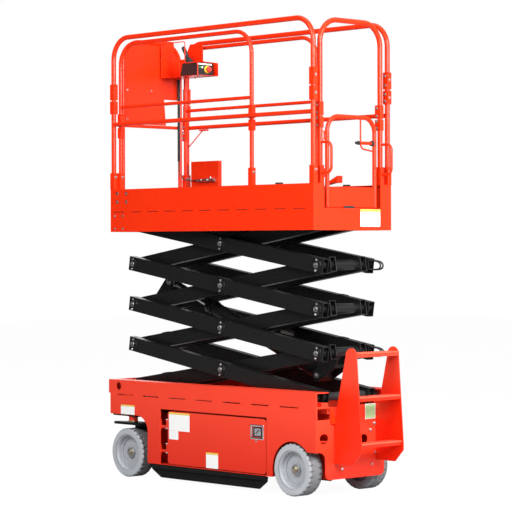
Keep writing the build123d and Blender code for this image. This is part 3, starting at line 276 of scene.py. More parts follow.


# ---- Wheels ----
# Solid non-marking rubber in light grey, with painted shade darkening the rolling face, on cast rims in the
# same grey.
def moulded(name, colour, shade, roughness, grain, depth, darker_below=0.0, tread=None):
    """Rubber or plastic with a cloudy tint. It turns darker towards the bottom under a given height, and
    tread is painted shade that darkens the rolling face.
    """
    mat, add, place, noise, ramp, blend, feed = shader(name, colour, roughness)
    cloud = noise(9.0, 5.0, 0.6)
    tint = blend(cloud, colour, shade)
    # The colour turns darker towards the bottom, below the given height.
    if darker_below:
        height = add("SeparateXYZ", [("Vector", place["Object"])]).outputs["Z"]
        tint = blend(ramp(height, darker_below, 0.0, 0.0, 0.5), tint, (0.3, 0.29, 0.28))
    # Painted shade: the tread colour darkens the faces that do not face sideways, the tyre's rolling face.
    if tread:
        facing = add("SeparateXYZ", [("Vector", place["Normal"])]).outputs["Y"]
        sideways = add("Math", [("Value", facing)], operation="ABSOLUTE").outputs[0]
        tint = blend(ramp(sideways, 0.9, 0.4), tint, tread)
    soft = add("Bevel", samples=4, Radius=0.003).outputs[0]
    feed(tint, ramp(cloud, 0.3, 0.7, roughness - 0.06, roughness + 0.06), noise(grain, 3.0, 0.6), 0.25, depth,
         soft)
    return mat


# Painted shade darkens the tyres' rolling face, and the tyres turn darker towards the floor.
tyre_grey = moulded("non-marking tyre rubber", (0.43, 0.45, 0.475), (0.39, 0.41, 0.43), 0.62, 220.0, 0.001,
                    darker_below=0.035, tread=(0.16, 0.165, 0.17))
rim_grey = moulded("rim grey paint", (0.43, 0.45, 0.475), (0.39, 0.41, 0.435), 0.42, 500.0, 0.0004)
corners = ("front_left", "front_right", "rear_left", "rear_right")
for corner in corners:
    finish_nodes(tyre_grey, f"tyre_{corner}")
    finish_nodes(rim_grey, f"rim_{corner}")

# ---- Plastic parts ----
# Slide rollers, power pack, control box and conduit are black, and the battery case dark grey.
plastic_black = moulded("black moulded plastic", (0.018, 0.018, 0.019), (0.026, 0.026, 0.027), 0.45, 700.0,
                        0.0005)
finish_nodes(plastic_black, "lower_rollers", "upper_rollers", "power_pack", "control_box", "control_conduit")
battery_case = moulded("battery case plastic", (0.05, 0.052, 0.056), (0.035, 0.036, 0.04), 0.5, 400.0, 0.0006)
finish_nodes(battery_case, "battery_pack")

# ---- Shaping helpers ----
# Most of the trim is rings of points under one skin: turned, barred, pressed or bent.
left = (0, 1, 0)
inward = (0, -1, 0)
rearward = (-1, 0, 0)
skyward = (0, 0, 1)


def lofted(name, rings, material, body=None, closed=True):
    """Rings of points joined into a skin, with flat ends where it is closed."""
    vertices = [point for ring in rings for point in ring]
    count = len(rings[0])
    faces = []
    for k in range(len(rings) - 1):
        near, far = k * count, (k + 1) * count
        for i in range(count):
            after = (i + 1) % count
            faces.append((near + i, near + after, far + after, far + i))
    if closed:
        last = (len(rings) - 1) * count
        faces += [tuple(range(count))[::-1], tuple(last + i for i in range(count))]
    piece = mesh_piece(name, vertices, faces)
    work = bmesh.new()
    work.from_mesh(piece.data)
    bmesh.ops.recalc_face_normals(work, faces=work.faces)
    work.to_mesh(piece.data)
    work.free()
    piece.data.shade_smooth()
    piece.data.set_sharp_from_angle(angle=radians(35))
    piece.data.materials.append(material)
    if body:
        settle(piece, body)
    return piece


def turned(name, centre, axis, profile, material, sides=40):
    """A turned piece: the profile gives how far along the axis and how wide."""
    centre, axis = Vector(centre), Vector(axis).normalized()
    across = axis.orthogonal().normalized()
    over = axis.cross(across)
    spokes = [across * cos(2 * pi * i / sides) + over * sin(2 * pi * i / sides) for i in range(sides)]
    rings = [[centre + axis * along + spoke * wide for spoke in spokes] for along, wide in profile]
    return lofted(name, rings, material)


def rounded(width, height, corner, steps=4):
    """Corner-rounded rectangle about its middle, as (across, up) pairs."""
    outline = []
    for a, b, turn in ((1, 1, 0), (-1, 1, 1), (-1, -1, 2), (1, -1, 3)):
        for step in range(steps + 1):
            angle = pi / 2 * (turn + step / steps)
            outline.append((a * (width / 2 - corner) + corner * cos(angle),
                            b * (height / 2 - corner) + corner * sin(angle)))
    return outline


def bar_rings(start, end, across, over, wide, thick):
    """Rings of a flat bar with slightly rounded corners."""
    start, end, across, over = (Vector(v) for v in (start, end, across, over))
    section = rounded(wide, thick, min(wide, thick) * 0.2, 2)
    return [[point + across * a + over * b for a, b in section] for point in (start, end)]


def bar(name, start, end, across, over, wide, thick, material):
    return lofted(name, bar_rings(start, end, across, over, wide, thick), material)


def pressed(name, x, z, side, steps, material, closed=True):
    """A piece on a side wall: each step gives how far out it is and its rounded outline."""
    rings = [[(x + across, side * y, z + up) for across, up in rounded(*size)] for y, size in steps]
    return lofted(name, rings, material, closed=closed)


def hose(name, points, radius, material, sides=4):
    """A bent hose or rod through its points, as a mesh."""
    curve = bpy.data.curves.new(name, "CURVE")
    curve.dimensions = "3D"
    curve.resolution_u = 10
    curve.bevel_depth = radius
    curve.bevel_resolution = sides
    curve.use_fill_caps = True
    line = curve.splines.new("NURBS")
    line.points.add(len(points) - 1)
    for spot, point in zip(line.points, points):
        spot.co = (*point, 1)
    line.order_u = 3
    line.use_endpoint_u = True
    bent = bpy.data.objects.new(name, curve)
    scene.collection.objects.link(bent)
    mesh = bpy.data.meshes.new_from_object(bent.evaluated_get(bpy.context.evaluated_depsgraph_get()))
    bpy.data.objects.remove(bent)
    piece = bpy.data.objects.new(name, mesh)
    scene.collection.objects.link(piece)
    mesh.shade_smooth()
    mesh.materials.clear()
    mesh.materials.append(material)
    return piece


def joined(name, pieces, body):
    """Several pieces of one make as one object that rides on a body."""
    work = bmesh.new()
    materials = []
    for piece in pieces:
        start = len(work.faces)
        work.from_mesh(piece.data)
        work.faces.ensure_lookup_table()
        material = piece.data.materials[0]
        if material not in materials:
            materials.append(material)
        for face in work.faces[start:]:
            face.material_index = materials.index(material)
    mesh = bpy.data.meshes.new(name)
    work.to_mesh(mesh)
    work.free()
    for material in materials:
        mesh.materials.append(material)
    for piece in pieces:
        bpy.data.objects.remove(piece)
    whole = bpy.data.objects.new(name, mesh)
    scene.collection.objects.link(whole)
    settle(whole, body)


# ---- Bolts and nuts ----
# Zinc plated hexagon bolts on washers hold the fold joints, the toe boards, the rear cover plate
# and the pin keepers. One node tree sets a head on each point, turned at random about its axis.
def node_tree(name, inputs):
    """A geometry node tree with named inputs, and a short way to add its nodes."""
    tree = bpy.data.node_groups.new(name, "GeometryNodeTree")
    tree.interface.new_socket("Geometry", in_out="INPUT", socket_type="NodeSocketGeometry")
    for label, kind, value in inputs:
        socket = tree.interface.new_socket(label, in_out="INPUT", socket_type="NodeSocket" + kind)
        if value is not None:
            socket.default_value = value
    tree.interface.new_socket("Geometry", in_out="OUTPUT", socket_type="NodeSocketGeometry")
    add = node_maker(tree, "GeometryNode")
    return tree, add, add("NodeGroupInput").outputs


def scatter(tree, add, given, shape, turn_any=True):
    """Set the shape on every point along its facing, then make it real and give it its finish."""
    facing = add("InputNamedAttribute", data_type="FLOAT_VECTOR", Name="facing")
    aim = add("FunctionNodeAlignRotationToVector", [("Vector", facing.outputs[0])], axis="Z")
    rotation = aim.outputs[0]
    if turn_any:
        angle = add("FunctionNodeRandomValue", [("Seed", given["Turn Seed"])], data_type="FLOAT")
        angle.inputs[3].default_value = 6.28
        spin = add("FunctionNodeAxisAngleToRotation", [("Angle", angle.outputs[1])], Axis=skyward)
        twist = add("FunctionNodeRotateRotation", [("Rotation", rotation), ("Rotate By", spin.outputs[0])],
                    rotation_space="LOCAL")
        rotation = twist.outputs[0]
    place = add("InstanceOnPoints", [("Points", given["Geometry"]), ("Instance", shape),
                                     ("Rotation", rotation)])
    real = add("RealizeInstances", [("Geometry", place.outputs[0])])
    finish = add("SetMaterial", [("Geometry", real.outputs[0]), ("Material", given["Finish"])])
    add("NodeGroupOutput", [("Geometry", finish.outputs[0])])


def raised(add, shape, low, high_from):
    """Stand a solid centred on its own middle on the given height."""
    middle = add("ShaderNodeMath", [(0, high_from)], operation="MULTIPLY_ADD")
    middle.inputs[1].default_value = 0.5
    middle.inputs[2].default_value = low
    lift = add("ShaderNodeCombineXYZ", [("Z", middle.outputs[0])])
    moved = add("Transform", [("Geometry", shape), ("Translation", lift.outputs[0])])
    return moved.outputs[0]


bolt_tree, add, given = node_tree("Bolt heads", [
    ("Head Radius", "Float", 0.008), ("Head Height", "Float", 0.006), ("Washer Radius", "Float", 0.0115),
    ("Sides", "Int", 6), ("Turn Seed", "Int", 3), ("Finish", "Material", None)])
washer = add("MeshCylinder", [("Radius", given["Washer Radius"])], Vertices=20, Depth=0.003)
washer_up = add("Transform", [("Geometry", washer.outputs[0])], Translation=(0, 0, 0.0005))
head = add("MeshCylinder", [("Vertices", given["Sides"]), ("Radius", given["Head Radius"]),
                            ("Depth", given["Head Height"])])
head_up = raised(add, head.outputs[0], 0.002, given["Head Height"])
crown_radius = add("ShaderNodeMath", [(0, given["Head Radius"])], operation="MULTIPLY")
crown_radius.inputs[1].default_value = 0.72
crown = add("MeshCone", [("Vertices", given["Sides"]), ("Radius Bottom", given["Head Radius"]),
                         ("Radius Top", crown_radius.outputs[0])], Depth=0.0015)
crown_high = add("ShaderNodeMath", [(0, given["Head Height"])], operation="ADD")
crown_high.inputs[1].default_value = 0.002
crown_shift = add("ShaderNodeCombineXYZ", [("Z", crown_high.outputs[0])])
crown_up = add("Transform", [("Geometry", crown.outputs[0]), ("Translation", crown_shift.outputs[0])])
bolt = add("JoinGeometry")
for part in (washer_up.outputs[0], head_up, crown_up.outputs[0]):
    bolt_tree.links.new(part, bolt.inputs[0])
scatter(bolt_tree, add, given, bolt.outputs[0])


def grown(name, tree, spots, body, **inputs):
    """Run a node tree on (point, facing) pairs and keep the result as a plain mesh that rides on a body."""
    base = bpy.data.meshes.new(name + "_points")
    base.from_pydata([spot for spot, _ in spots], [], [])
    facing = base.attributes.new("facing", "FLOAT_VECTOR", "POINT")
    facing.data.foreach_set("vector", [c for _, way in spots for c in way])
    piece = bpy.data.objects.new(name, base)
    scene.collection.objects.link(piece)
    grower = piece.modifiers.new("grow", "NODES")
    grower.node_group = tree
    for socket in tree.interface.items_tree:
        if socket.in_out == "INPUT" and socket.name.replace(" ", "_") in inputs:
            grower[socket.identifier] = inputs[socket.name.replace(" ", "_")]
    plain = bpy.data.meshes.new_from_object(piece.evaluated_get(bpy.context.evaluated_depsgraph_get()))
    plain.name = name
    while len(plain.materials) > 1 and plain.materials[0] is None:
        plain.materials.pop(index=0)
    piece.modifiers.remove(grower)
    piece.data = plain
    settle(piece, body)
    return piece


def both_sides(spots):
    """The same spots again, mirrored to the other side of the machine."""
    return spots + [((x, -y, z), (a, -b, c)) for (x, y, z), (a, b, c) in spots]


def bolted(name, spots, body, head, high, washer, sides=6):
    """Zinc plated heads of one radius and height, each on its washer."""
    grown(name, bolt_tree, spots, body, Head_Radius=head, Head_Height=high, Washer_Radius=washer, Sides=sides,
          Finish=zinc)


def in_skirt(*spots):
    """Flush bolts on both skirts, from the middle of the chassis."""
    return both_sides([((mid_x + x, skirt_y - 0.0015, z), left) for x, z in spots])


flush = 0.0005
bolted("toe_board_bolts", in_skirt((1.053, 2.221), (0.944, 2.22), (1.053, 2.155), (0.944, 2.154)),
       "platform", 0.0105, flush, 0.014, 16)
bolted("skirt_bolts", in_skirt((1.083, 2.045), (0.987, 2.044), (1.083, 1.945), (0.987, 1.945)),
       "platform", 0.0065, flush, 0.0095, 16)
hoop_x = mid_x - 1.096
hoop_joint = [((hoop_x, y, z), (0, way, 0))
              for z in (2.672, 2.722, 2.762, 2.818) for y, way in ((0.332, 1), (0.294, -1))]
bolted("rear_hoop_bolts", both_sides(hoop_joint), "platform", 0.0075, 0.005, 0.011)
rail_ends = (1.116, -1.116)
rail_joint = [((mid_x + x, 0.364, z), inward) for x in rail_ends for z in (2.872, 2.925, 2.99, 3.058)]
rail_joint += [((mid_x - 1.14, 0.384, z), rearward) for z in (2.9, 3.03)]
bolted("main_rail_bolts", both_sides(rail_joint), "platform", 0.0075, 0.005, 0.011)
sliding_ends = (1.083, -0.428)
sliding_joint = [((mid_x + x, 0.322, z), inward)
                 for x in sliding_ends for z in (2.682, 2.722, 2.775, 2.828)]
bolted("extension_rail_bolts", both_sides(sliding_joint), "extension", 0.007, 0.005, 0.0105)
socket_z = 2.352
socket_pins = [((mid_x + x - 0.023, 0.386, socket_z), rearward) for x in rail_ends]
bolted("rail_socket_pins", both_sides(socket_pins), "platform", 0.007, 0.012, 0.012, 16)
socket_pins = [((mid_x + x - 0.02, 0.342, socket_z), rearward) for x in sliding_ends]
bolted("extension_socket_pins", both_sides(socket_pins), "extension", 0.006, 0.012, 0.011, 16)
cover_bolts = [((rear_x, y, z), rearward) for y, z in ((0.14, 0.197), (-0.169, 0.214), (-0.202, 0.297))]
bolted("rear_cover_bolts", cover_bolts, "chassis", 0.01, 0.008, 0.016)
plate_bolts = [((rear_x, y, z), rearward) for y, z in ((-0.2, 0.509), (-0.159, 0.463))]
bolted("rear_plate_bolts", plate_bolts, "chassis", 0.01, 0.008, 0.015)

# ---- Pin keepers on the scissor arms ----
# Each pivot pin ends in a turned face, held by a black keeper bar with one bolt above and one
# below it, square to the arm.
pivot_x, _, pivot_z = joint_at["lift"]
rise = joint_at["stage_1_to_2"][2] - pivot_z
arm_long = 2.073  # between the end pivots of an arm
tilt = asin(rise / arm_long)
slide_x = pivot_x - arm_long * cos(tilt)
stack_x = (pivot_x + slide_x) / 2
along_up = (cos(tilt), 0, sin(tilt))
square_up = Vector((-sin(tilt), 0, cos(tilt)))
for stage in range(1, 5):
    low = pivot_z + (stage - 1) * rise
    ends = [(stack_x, low + rise / 2)]
    if stage < 4:
        ends.append((pivot_x, low + rise))
    if stage > 1:
        ends.append((slide_x, low))
    keepers, faces, bolts = [], [], []
    for side in (1, -1):
        out = (0, side, 0)
        for x, z in ends:
            centre = Vector((x, side * 0.276, z))
            keepers.append(bar("keeper", centre - square_up * 0.05, centre + square_up * 0.05, along_up,
                               left, 0.03, 0.007, arm_black))
            keepers.append(turned("boss", (x, 0, z), out, (
                (0.2672, 0.043), (0.2722, 0.043), (0.2735, 0.0415), (0.2735, 0.024)), arm_black))
            faces.append(turned("pin face", (x, 0, z), out, (
                (0.281, 0.0205), (0.2872, 0.0205), (0.2885, 0.019), (0.2885, 0.006), (0.2875, 0.004)), zinc))
            bolts += [((x + square_up.x * s, side * 0.2795, z + square_up.z * s), out)
                      for s in (-0.039, 0.039)]
    joined(f"pin_keepers_{stage}", keepers, f"outer_{stage}")
    joined(f"pin_faces_{stage}", faces, f"outer_{stage}")
    bolted(f"keeper_bolts_{stage}", bolts, f"outer_{stage}", 0.0075, 0.005, 0.0095)

# ---- Rest pads, stop plate and hose loops on the arms ----
# Rubber pads let the folded arms rest on one another, and two hydraulic hoses loop out of the
# far arm ends. A zinc plated stop plate is fixed inside the second pair of outer arms.
rubber = moulded("black rubber", (0.016, 0.016, 0.0165), (0.024, 0.023, 0.023), 0.66, 260.0, 0.0008)


def along_arm(stage, slope, distance, above):
    """A point on an arm, from its middle pivot."""
    x = stack_x + distance * cos(tilt) - slope * above * sin(tilt)
    z = pivot_z + (stage - 0.5) * rise + slope * distance * sin(tilt) + above * cos(tilt)
    return x, z


for stage, body, slope, distance, y in ((1, "inner", -1, 0.755, 0.157), (2, "inner", -1, 0.755, 0.157),
                                        (2, "outer", 1, -0.805, -0.236), (3, "outer", 1, -0.805, -0.236)):
    rings = []
    for height, long, wide in ((0.055, 0.07, 0.05), (0.0585, 0.07, 0.05), (0.0605, 0.064, 0.044),
                               (0.061, 0.056, 0.036)):
        x, z = along_arm(stage, slope, distance, height)
        rings.append(bar_rings((x, y, z), (x, y, z), (cos(tilt), 0, slope * sin(tilt)), left, long, wide)[0])
    lofted(f"rest_pad_{body}_{stage}", rings, rubber, f"{body}_{stage}")

stop_x, stop_z = along_arm(2, 1, -0.24, 0.0)
stop = [(stop_x + end * cos(tilt), -0.2015, stop_z + end * sin(tilt)) for end in (-0.072, 0.072)]
joined("stop_plate", [bar("stop plate", *stop, square_up, left, 0.046, 0.007, zinc)], "outer_2")

for stage, low, reach in ((4, pivot_z + 3 * rise, 0.105), (2, pivot_z + rise, 0.11)):
    loops = []
    for shift in (0.0, 0.016):
        far = -0.055 - reach - shift * 0.6
        loops.append(hose("loop", [(slide_x + x, -0.228 - shift, low + z) for x, z in (
            (0.1, 0.032), (-0.035, 0.03), (-0.075, 0.034), (far, 0.02), (far, -0.032), (-0.075, -0.036),
            (-0.035, -0.03), (0.1, -0.014))], 0.0065, rubber))
    joined(f"hose_loops_{stage}", loops, f"outer_{stage}")

# ---- Lift cylinder fittings ----
# Steel return line along the barrel, a port block at its foot with a hose clamped beside the line,
# a wiper gland and the bolt heads that hold both cylinder pins.
foot = Vector(joint_at["barrel_swing"])
reach_way = Vector(next(row["axis"] for row in frame["joints"] if row["name"] == "rod_slide"))
eye = foot + reach_way * 1.808376
over = Vector((-reach_way.z, 0, reach_way.x))


def on_barrel(along, out, y=0.0):
    return foot + reach_way * along + over * out + Vector((0, y, 0))


fittings = [
    turned("gland", foot, reach_way, ((1.3, 0.0585), (1.334, 0.0585), (1.3385, 0.056), (1.3385, 0.03),
                                      (1.346, 0.0295), (1.346, 0.0275)), arm_black),
    bar("port", on_barrel(0.085, 0.052), on_barrel(0.15, 0.052), left, over, 0.044, 0.032, arm_black),
    hose("return line", [on_barrel(*spot) for spot in (
        (0.14, 0.058, 0.012), (0.22, 0.06, 0.014), (0.26, 0.058, 0.02), (0.32, 0.058, 0.022),
        (1.18, 0.058, 0.022), (1.23, 0.06, 0.022), (1.262, 0.0565, 0.012))], 0.0055, arm_black)]
saddle = ((-0.008, 0.0503), (-0.008, 0.0525), (0.008, 0.0525), (0.008, 0.0503))
fittings += [turned("saddle", on_barrel(along, 0), reach_way, saddle, arm_black)
             for along in (0.45, 0.8, 1.12)]
fittings.append(hose("supply hose", [on_barrel(*spot) for spot in (
    (0.15, 0.057, -0.012), (0.2, 0.058, -0.014), (0.26, 0.059, -0.018),
    (0.44, 0.059, -0.02))], 0.007, rubber))
joined("cylinder_fittings", fittings, "barrel")
unions = [
    turned("union", on_barrel(0.15, 0.057, -0.012), reach_way, (
        (0.0, 0.011), (0.012, 0.011), (0.014, 0.009), (0.03, 0.009), (0.032, 0.0075)), zinc),
    turned("union", on_barrel(0.15, 0.058, 0.012), reach_way, (
        (0.0, 0.009), (0.014, 0.009), (0.016, 0.007), (0.024, 0.007)), zinc)]
joined("cylinder_unions", unions, "barrel")
bolted("cylinder_foot_bolts", both_sides([((foot.x, 0.076, foot.z), left)]), "inner_1", 0.014, 0.009, 0.021)
bolted("cylinder_eye_bolts", both_sides([((eye.x, 0.046, eye.z), left)]), "inner_3", 0.016, 0.01, 0.026)

# ---- Wheel hubs ----
# A zinc plated hub cap plate closes each wheel, with a castle nut and split pin on the spindle.
brass = plated("yellow zinc nut", (0.52, 0.43, 0.26), 0.34)
for corner in corners:
    x, y, z = joint_at[f"spin_{corner}"]
    side = 1 if y > 0 else -1
    centre, out, pin_y = (x, 0, z), (0, side, 0), side * 0.3872
    nut = [
        turned("cap", centre, out, (
            (0.366, 0.0385), (0.3715, 0.0385), (0.373, 0.037), (0.373, 0.028), (0.3745, 0.027),
            (0.3745, 0.01)), zinc),
        turned("nut", centre, out, (
            (0.3745, 0.0235), (0.38, 0.0235), (0.3815, 0.022), (0.3815, 0.015)), brass, 6),
        turned("crown", centre, out, (
            (0.3745, 0.02), (0.3895, 0.02), (0.3905, 0.0185), (0.3905, 0.0125), (0.386, 0.0115)), brass, 24),
        turned("spindle", centre, out, (
            (0.38, 0.011), (0.3915, 0.011), (0.393, 0.0095), (0.393, 0.003), (0.392, 0.002)), zinc, 24),
        hose("split pin", [(x - 0.026, pin_y, z + 0.006), (x, pin_y, z), (x + 0.024, pin_y, z - 0.006),
                           (x + 0.026, side * 0.383, z - 0.012)], 0.0022, zinc, 2)]
    joined(f"hub_nut_{corner}", nut, f"wheel_{corner}")

# ---- Steering heads ----
# A turned steel ring under each red collar, where the kingpin runs on its thrust washer.
kingpin_x, kingpin_y, _ = joint_at["steer_left"]
collar = ((0.4255, 0.0345), (0.4265, 0.0372), (0.44, 0.0372), (0.4405, 0.0362))
rings = [turned("thrust ring", (kingpin_x, y, 0), skyward, collar, brass) for y in (kingpin_y, -kingpin_y)]
joined("thrust_rings", rings, "chassis")

# ---- Locker door latches and hinges ----
# Chromed paddle latch: a pressed frame round the recess, a sprung paddle and a key barrel below.
# White nylon washers sit above and below each hinge knuckle.
nylon = moulded("white nylon", (0.84, 0.82, 0.78), (0.74, 0.72, 0.68), 0.5, 600.0, 0.0004)
latch_x, latch_z = mid_x - 0.544, 0.442
pan_size = (0.107, 0.076, 0.005)
washer_wide = 0.014
for side, hand in ((1, "left"), (-1, "right")):
    latch = [
        pressed("surround", latch_x, latch_z, side, (
            (0.405, (0.14, 0.11, 0.01)), (0.4062, (0.139, 0.109, 0.01)), (0.4068, (0.136, 0.106, 0.009)),
            (0.4068, (0.116, 0.086, 0.007)), (0.4055, (0.112, 0.082, 0.006)), (0.3945, (0.108, 0.076, 0.005)),
            (0.3935, (0.104, 0.072, 0.005))), chrome, closed=False),
        pressed("paddle", latch_x - 0.004, latch_z, side, (
            (0.3935, (0.064, 0.058, 0.006)), (0.402, (0.064, 0.058, 0.006)), (0.404, (0.061, 0.055, 0.005)),
            (0.404, (0.05, 0.044, 0.005)), (0.403, (0.048, 0.042, 0.004))), chrome),
        pressed("pan", latch_x, latch_z, side, ((0.3931, pan_size), (0.3936, pan_size)), plastic_black),
        turned("key barrel", (latch_x + 0.008, 0, latch_z - 0.065), (0, side, 0), (
            (0.405, 0.0085), (0.4068, 0.0085), (0.4074, 0.0075), (0.4074, 0.0035),
            (0.4066, 0.003)), chrome, 24),
        bar("thumb catch", (latch_x - 0.016, side * 0.4045, latch_z + 0.012),
            (latch_x + 0.012, side * 0.4045, latch_z - 0.01), (0.6, 0, 0.8), left, 0.006, 0.0025,
            plastic_black)]
    joined(f"door_latch_{hand}", latch, f"door_{hand}")
    hinge_x, hinge_y, _ = joint_at[f"door_{hand}_swing"]
    washers = []
    for knuckle_z in (0.233, 0.419):
        for low, high in ((knuckle_z + 0.0545, knuckle_z + 0.0595), (knuckle_z - 0.015, knuckle_z - 0.0105)):
            washers.append(turned("washer", (hinge_x, hinge_y, 0), skyward, (
                (low, washer_wide * 0.9), (low + 0.001, washer_wide), (high - 0.001, washer_wide),
                (high, washer_wide * 0.9)), nylon, 24))
    joined(f"hinge_washers_{hand}", washers, "chassis")

# ---- Pothole guard hinges ----
# A black strip runs along each sill in front of the hinge ears, and closes the gap down to the
# drop-down guard.
sill_low, sill_high = 0.0925, 0.1262
sill_z = (sill_low + sill_high) / 2
strips = [bar("strip", (mid_x - 0.636, y, sill_z), (mid_x + 0.664, y, sill_z), left, skyward, 0.005,
              sill_high - sill_low, low_black) for y in (0.4005, -0.4005)]
joined("sill_strips", strips, "chassis")

# ---- Blank plates ----
# Self-adhesive vinyl plates, white with a yellow head band and nothing printed, cut with round
# corners, and one pale green plate between the ladder's sides.
vinyl = moulded("white vinyl plate", (0.9, 0.9, 0.88), (0.85, 0.85, 0.83), 0.32, 900.0, 0.0002)
vinyl_yellow = moulded("yellow vinyl band", (0.83, 0.62, 0.12), (0.78, 0.56, 0.1), 0.32, 900.0, 0.0002)
vinyl_green = moulded("pale green vinyl plate", (0.34, 0.66, 0.3), (0.42, 0.74, 0.38), 0.34, 900.0, 0.0002)


def plate(low, high, face, material, along="side"):
    """Thin plate between two corners, on a side wall (x, z) or a rear wall (y, z)."""
    (a0, z0), (a1, z1) = low, high
    outline = rounded(abs(a1 - a0), abs(z1 - z0), 0.0025, 3)
    a, z = (a0 + a1) / 2, (z0 + z1) / 2
    rings = []
    for out in (0.0, 0.0004):
        if along == "side":
            rings.append([(a + p, face + (out if face > 0 else -out), z + q) for p, q in outline])
        else:
            rings.append([(face - out, a + p, z + q) for p, q in outline])
    return lofted("plate", rings, material)


nose_blanks = (
    ((0.846, 0.489), (1.014, 0.552), vinyl), ((0.846, 0.5525), (1.014, 0.564), vinyl_yellow))
door_blanks = (
    ((0.2, 0.395), (0.438, 0.519), vinyl), ((0.2, 0.5195), (0.438, 0.534), vinyl_yellow),
    ((0.33, 0.328), (0.438, 0.3945), vinyl), ((-0.121, 0.139), (0.014, 0.241), vinyl),
    ((-0.121, 0.2415), (0.014, 0.256), vinyl_yellow))
for side, hand in ((1, "left"), (-1, "right")):
    for name, body, blanks in ((f"nose_plate_{hand}", "chassis", nose_blanks),
                               (f"door_plates_{hand}", f"door_{hand}", door_blanks)):
        joined(name, [plate((mid_x + low[0], low[1]), (mid_x + high[0], high[1]), side * 0.4051, finish)
                      for low, high, finish in blanks], body)
platform_rear = mid_x - 1.1352
skirt_blanks = (
    ((-0.287, 1.946), (-0.077, 2.053), platform_rear, vinyl),
    ((-0.287, 2.0535), (-0.077, 2.073), platform_rear, vinyl_yellow))
green_blanks = (
    ((-0.205, 0.549), (-0.107, 0.648), rear_x - 0.0022, vinyl_green),
    ((-0.211, 0.543), (-0.101, 0.654), rear_x - 0.0016, vinyl))
for name, body, blanks in (("skirt_plate", "platform", skirt_blanks),
                           ("rear_plate_green", "chassis", green_blanks)):
    joined(name, [plate(*blank, "rear") for blank in blanks], body)

# ---- Rear cover plates ----
# Two doubler plates are welded over the rear wall beside the ladder, and a bolted cover closes
# the opening under it.
def wall_sheet(name, outline, proud, foot, material):
    """A plate on the rear wall whose lower edge stands off by the foot."""
    top = max(z for _, z in outline)
    drop = top - min(z for _, z in outline)
    back = [(rear_x + 0.0002, y, z) for y, z in outline]
    face = [(rear_x - proud - foot * (top - z) / drop, y, z) for y, z in outline]
    return lofted(name, [back, face], material)


doublers = [
    wall_sheet("near doubler", ((0.2575, 0.648), (0.105, 0.656), (0.105, 0.512), (0.165, 0.514),
                                (0.258, 0.532)), 0.002, 0.016, platform_red),
    wall_sheet("far doubler", ((-0.213, 0.656), (-0.2135, 0.53), (-0.2575, 0.532), (-0.2575, 0.648)),
               0.002, 0.016, platform_red),
    wall_sheet("cover", ((0.163, 0.24), (-0.205, 0.315), (-0.205, 0.222), (-0.185, 0.2), (0.14, 0.178),
                         (0.163, 0.19)), 0.003, 0.0, chassis_red)]
joined("rear_doublers", doublers, "chassis")

# ---- Ladder treads ----
# Raised anti-slip buttons are pressed up through each tread in staggered rows, and the rear edge
# is rolled over. Both are in a lighter red, partly boot scuffs and partly painted light where the lamps catch
# them.
# Lighter red: partly boot scuffs, partly a painted highlight on the treads.
lit_scuffed_tread_red = coated("scuffed tread red coat", (0.88, 0.115, 0.06), (0.86, 0.085, 0.04), (0.85, 0.4, 0.3),
                   roughness=0.4, wear=0.8)
button_tree, add, given = node_tree("Pressed buttons", [
    ("Base Radius", "Float", 0.006), ("Top Radius", "Float", 0.0042), ("Rise", "Float", 0.0022),
    ("Sides", "Int", 12), ("Turn Seed", "Int", 5), ("Finish", "Material", None)])
dome = add("MeshCone", [("Vertices", given["Sides"]), ("Radius Bottom", given["Base Radius"]),
                                    ("Radius Top", given["Top Radius"]), ("Depth", given["Rise"])])
scatter(button_tree, add, given, dome.outputs[0])
treads = [(mid_x - reach, high) for reach, high in ((1.384, 1.043), (1.401, 0.729), (1.41, 0.397))]
half_tread = 0.214
lip = 0.0065  # radius of the rolled edge
spots, nosings = [], []
for edge_x, high in treads:
    for row in range(4):
        for column in range(15 - row % 2):
            y = (column - 7 + 0.5 * (row % 2)) * 0.028
            spots.append(((edge_x + 0.014 + 0.022 * row, y, high), skyward))
    roll = [(edge_x - 0.0015 + lip * cos(2 * pi * i / 16), high - 0.005 + lip * sin(2 * pi * i / 16))
            for i in range(16)]
    nosings.append(lofted("nosing", [[(x, y, z) for x, z in roll] for y in (-half_tread, half_tread)],
                          lit_scuffed_tread_red))
grown("ladder_tread_buttons", button_tree, spots, "chassis", Finish=lit_scuffed_tread_red)
joined("ladder_nosings", nosings, "chassis")

# ---- Tread plate on both decks ----
# Thin anti-slip tread plate in dark grey, with raised bars that lie one way and the other in turn.
tread_grey = coated("tread plate coat", (0.03, 0.03, 0.031), (0.042, 0.041, 0.04), (0.2, 0.19, 0.18),
                    roughness=0.5, wear=0.8, edge=0.001)
bar_tree, add, given = node_tree("Tread bars", [
    ("Bar Length", "Float", 0.02), ("Bar Width", "Float", 0.0065), ("Rise", "Float", 0.0014),
    ("Finish", "Material", None)])
lozenge = add("MeshCone", [("Depth", given["Rise"])], Vertices=8, Radius_Bottom=0.5, Radius_Top=0.34)
stretch = add("ShaderNodeCombineXYZ", [("X", given["Bar Length"]), ("Y", given["Bar Width"])], Z=1.0)
shaped = add("Transform", [("Geometry", lozenge.outputs[0]), ("Scale", stretch.outputs[0])])
slanted = add("Transform", [("Geometry", shaped.outputs[0])], Rotation=(0, 0, radians(45)))
scatter(bar_tree, add, given, slanted.outputs[0], turn_any=False)


